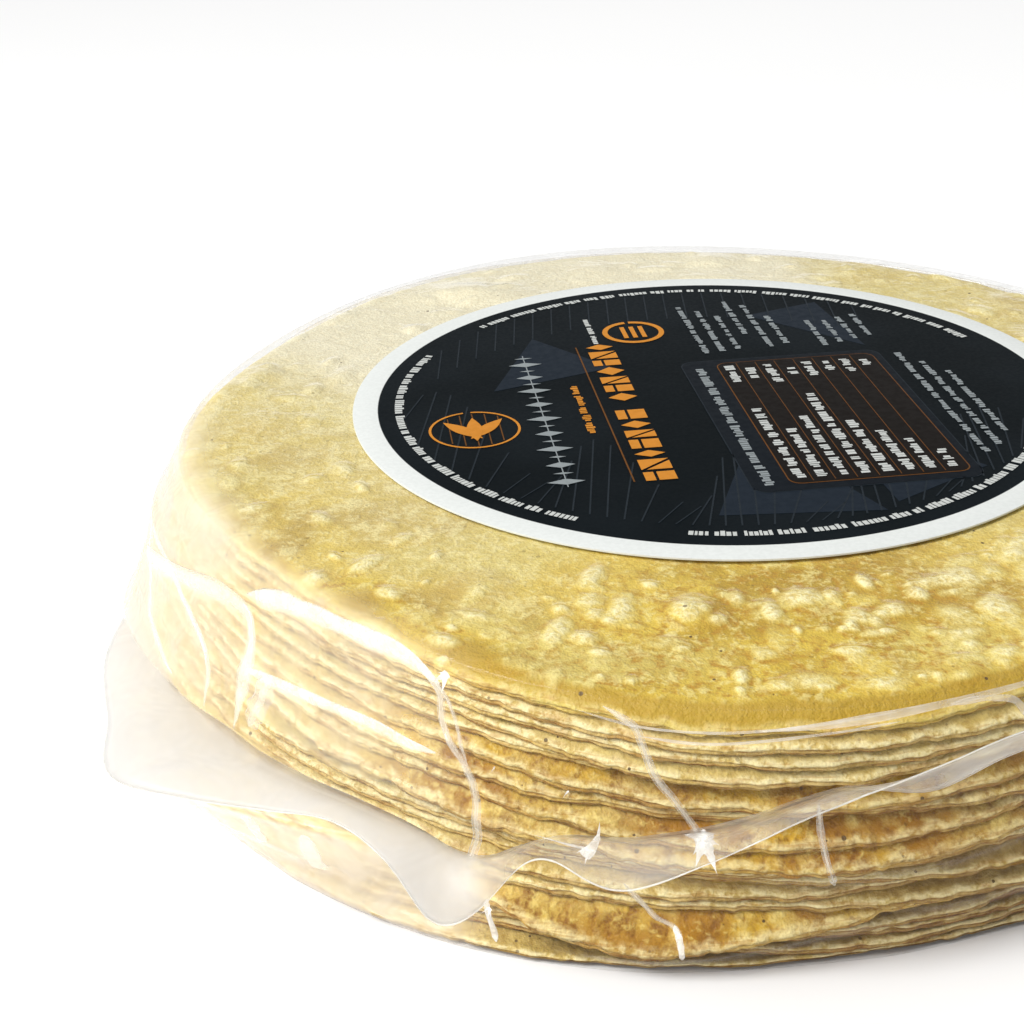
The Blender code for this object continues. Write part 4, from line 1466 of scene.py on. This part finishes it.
stage = {
    "floorSize": 3.0,
    # the glow of the surroundings: sine of the height over the horizon where it changes, and its strengths
    "glow": {"From Min": 0.12, "From Max": 0.30, "To Min": 0.95, "To Max": 0.30},
    "lightsAimAt": (0.0, 0.0, 0.015),
    # a sun wide enough to light the floor evenly: direction it shines from, strength, degrees across
    "sun": ((-0.58, -0.22, 0.80), 2.1, 30.0),
    # two square softboxes: place, size, power, colour
    "lamps": {
        "keyLight": ((-0.62, -0.20, 0.38), 0.42, 2.2, (1.0, 0.99, 0.965)),
        "topLight": ((0.08, 0.10, 0.85), 0.60, 1.2, (1.0, 0.99, 0.97)),
    },
    # fitted to the photo: place, pitch down and roll in radians, focal length in pixels of a 1024 px picture
    "cameraPlace": (-26.87 * mm, -214.03 * mm, 120.85 * mm),
    "pitch": 0.45321,
    "roll": -0.03198,
    "focalPixels": 1704.3,
    "sensor": 36.0,
}


def showInScene(name, data, right, up, back, place):
    # a lamp or a camera that looks against back
    shown = bpy.data.objects.new(name, data)
    matrix = Matrix(np.column_stack([right, up, back]).tolist()).to_4x4()
    matrix.translation = place
    shown.matrix_world = matrix
    scene.collection.objects.link(shown)
    return shown


def makeFloor():
    s = shaderSheet("paleFloor")
    colour = s.mix(s.noise(0.3, 2.0, 0.5), (0.93, 0.93, 0.93), (0.95, 0.95, 0.95))
    s.finish(s.shader("ShaderNodeBsdfPrincipled", **{
        "Base Color": colour, "Roughness": 0.9, "Specular IOR Level": 0.0,
    }))
    half = stage["floorSize"]
    mesh = bpy.data.meshes.new("floor")
    corners = [(-half, -half, 0), (half, -half, 0), (half, half, 0), (-half, half, 0)]
    mesh.from_pydata(corners, [], [(0, 1, 2, 3)])
    mesh.materials.append(s.material)
    floor = bpy.data.objects.new("floor", mesh)
    scene.collection.objects.link(floor)


def makeLight(name, kind, direction, place, **values):
    # a light that shines from a direction, turned so that its sides are level
    data = bpy.data.lights.new(name, kind)
    for key, value in values.items():
        setattr(data, key, value)
    back = np.array(direction) / np.linalg.norm(direction)
    right = np.cross((0.0, 0.0, 1.0), back)
    right /= np.linalg.norm(right)
    showInScene(name, data, right, np.cross(back, right), back, place)


def makeLights():
    # plain studio: bright low down, greyer overhead, a wide sun and two softboxes
    world = bpy.data.worlds.new("studio")
    world.use_nodes = True
    tree = world.node_tree
    background = tree.nodes["Background"]
    background.inputs[0].default_value = (1.0, 1.0, 1.0, 1.0)
    upward = tree.nodes.new("ShaderNodeSeparateXYZ")
    tree.links.new(tree.nodes.new("ShaderNodeTexCoord").outputs["Generated"], upward.inputs[0])
    glow = tree.nodes.new("ShaderNodeMapRange")
    glow.interpolation_type = "SMOOTHSTEP"
    tree.links.new(upward.outputs[2], glow.inputs["Value"])
    for socket, value in stage["glow"].items():
        glow.inputs[socket].default_value = value
    tree.links.new(glow.outputs[0], background.inputs[1])
    scene.world = world
    direction, power, spread = stage["sun"]
    makeLight("wideSun", "SUN", direction, (0.0, 0.0, 0.0), energy=power, angle=math.radians(spread))
    for name, (place, size, power, colour) in stage["lamps"].items():
        direction = np.array(place) - stage["lightsAimAt"]
        makeLight(name, "AREA", direction, place, shape="SQUARE", size=size, energy=power, color=colour)


def makeCamera():
    # pinhole at the photo's viewing point: pitch down, a small roll, no shift
    pitch, roll = stage["pitch"], stage["roll"]
    sine, cosine = math.sin(pitch), math.cos(pitch)
    level = np.array([(1, 0, 0), (0, -sine, -cosine), (0, cosine, -sine)])
    sine, cosine = math.sin(roll), math.cos(roll)
    right, down, ahead = np.array([(cosine, -sine, 0), (sine, cosine, 0), (0, 0, 1)]) @ level
    data = bpy.data.cameras.new("camera")
    data.sensor_width = stage["sensor"]
    data.lens = stage["focalPixels"] * stage["sensor"] / 1024.0
    data.clip_start, data.clip_end = 0.01, 20.0
    scene.camera = showInScene("camera", data, right, -down, -ahead, stage["cameraPlace"])


makeFloor()
makeLights()
makeCamera()
scene.view_settings.view_transform = "Standard"
print("floor, lights and camera set")
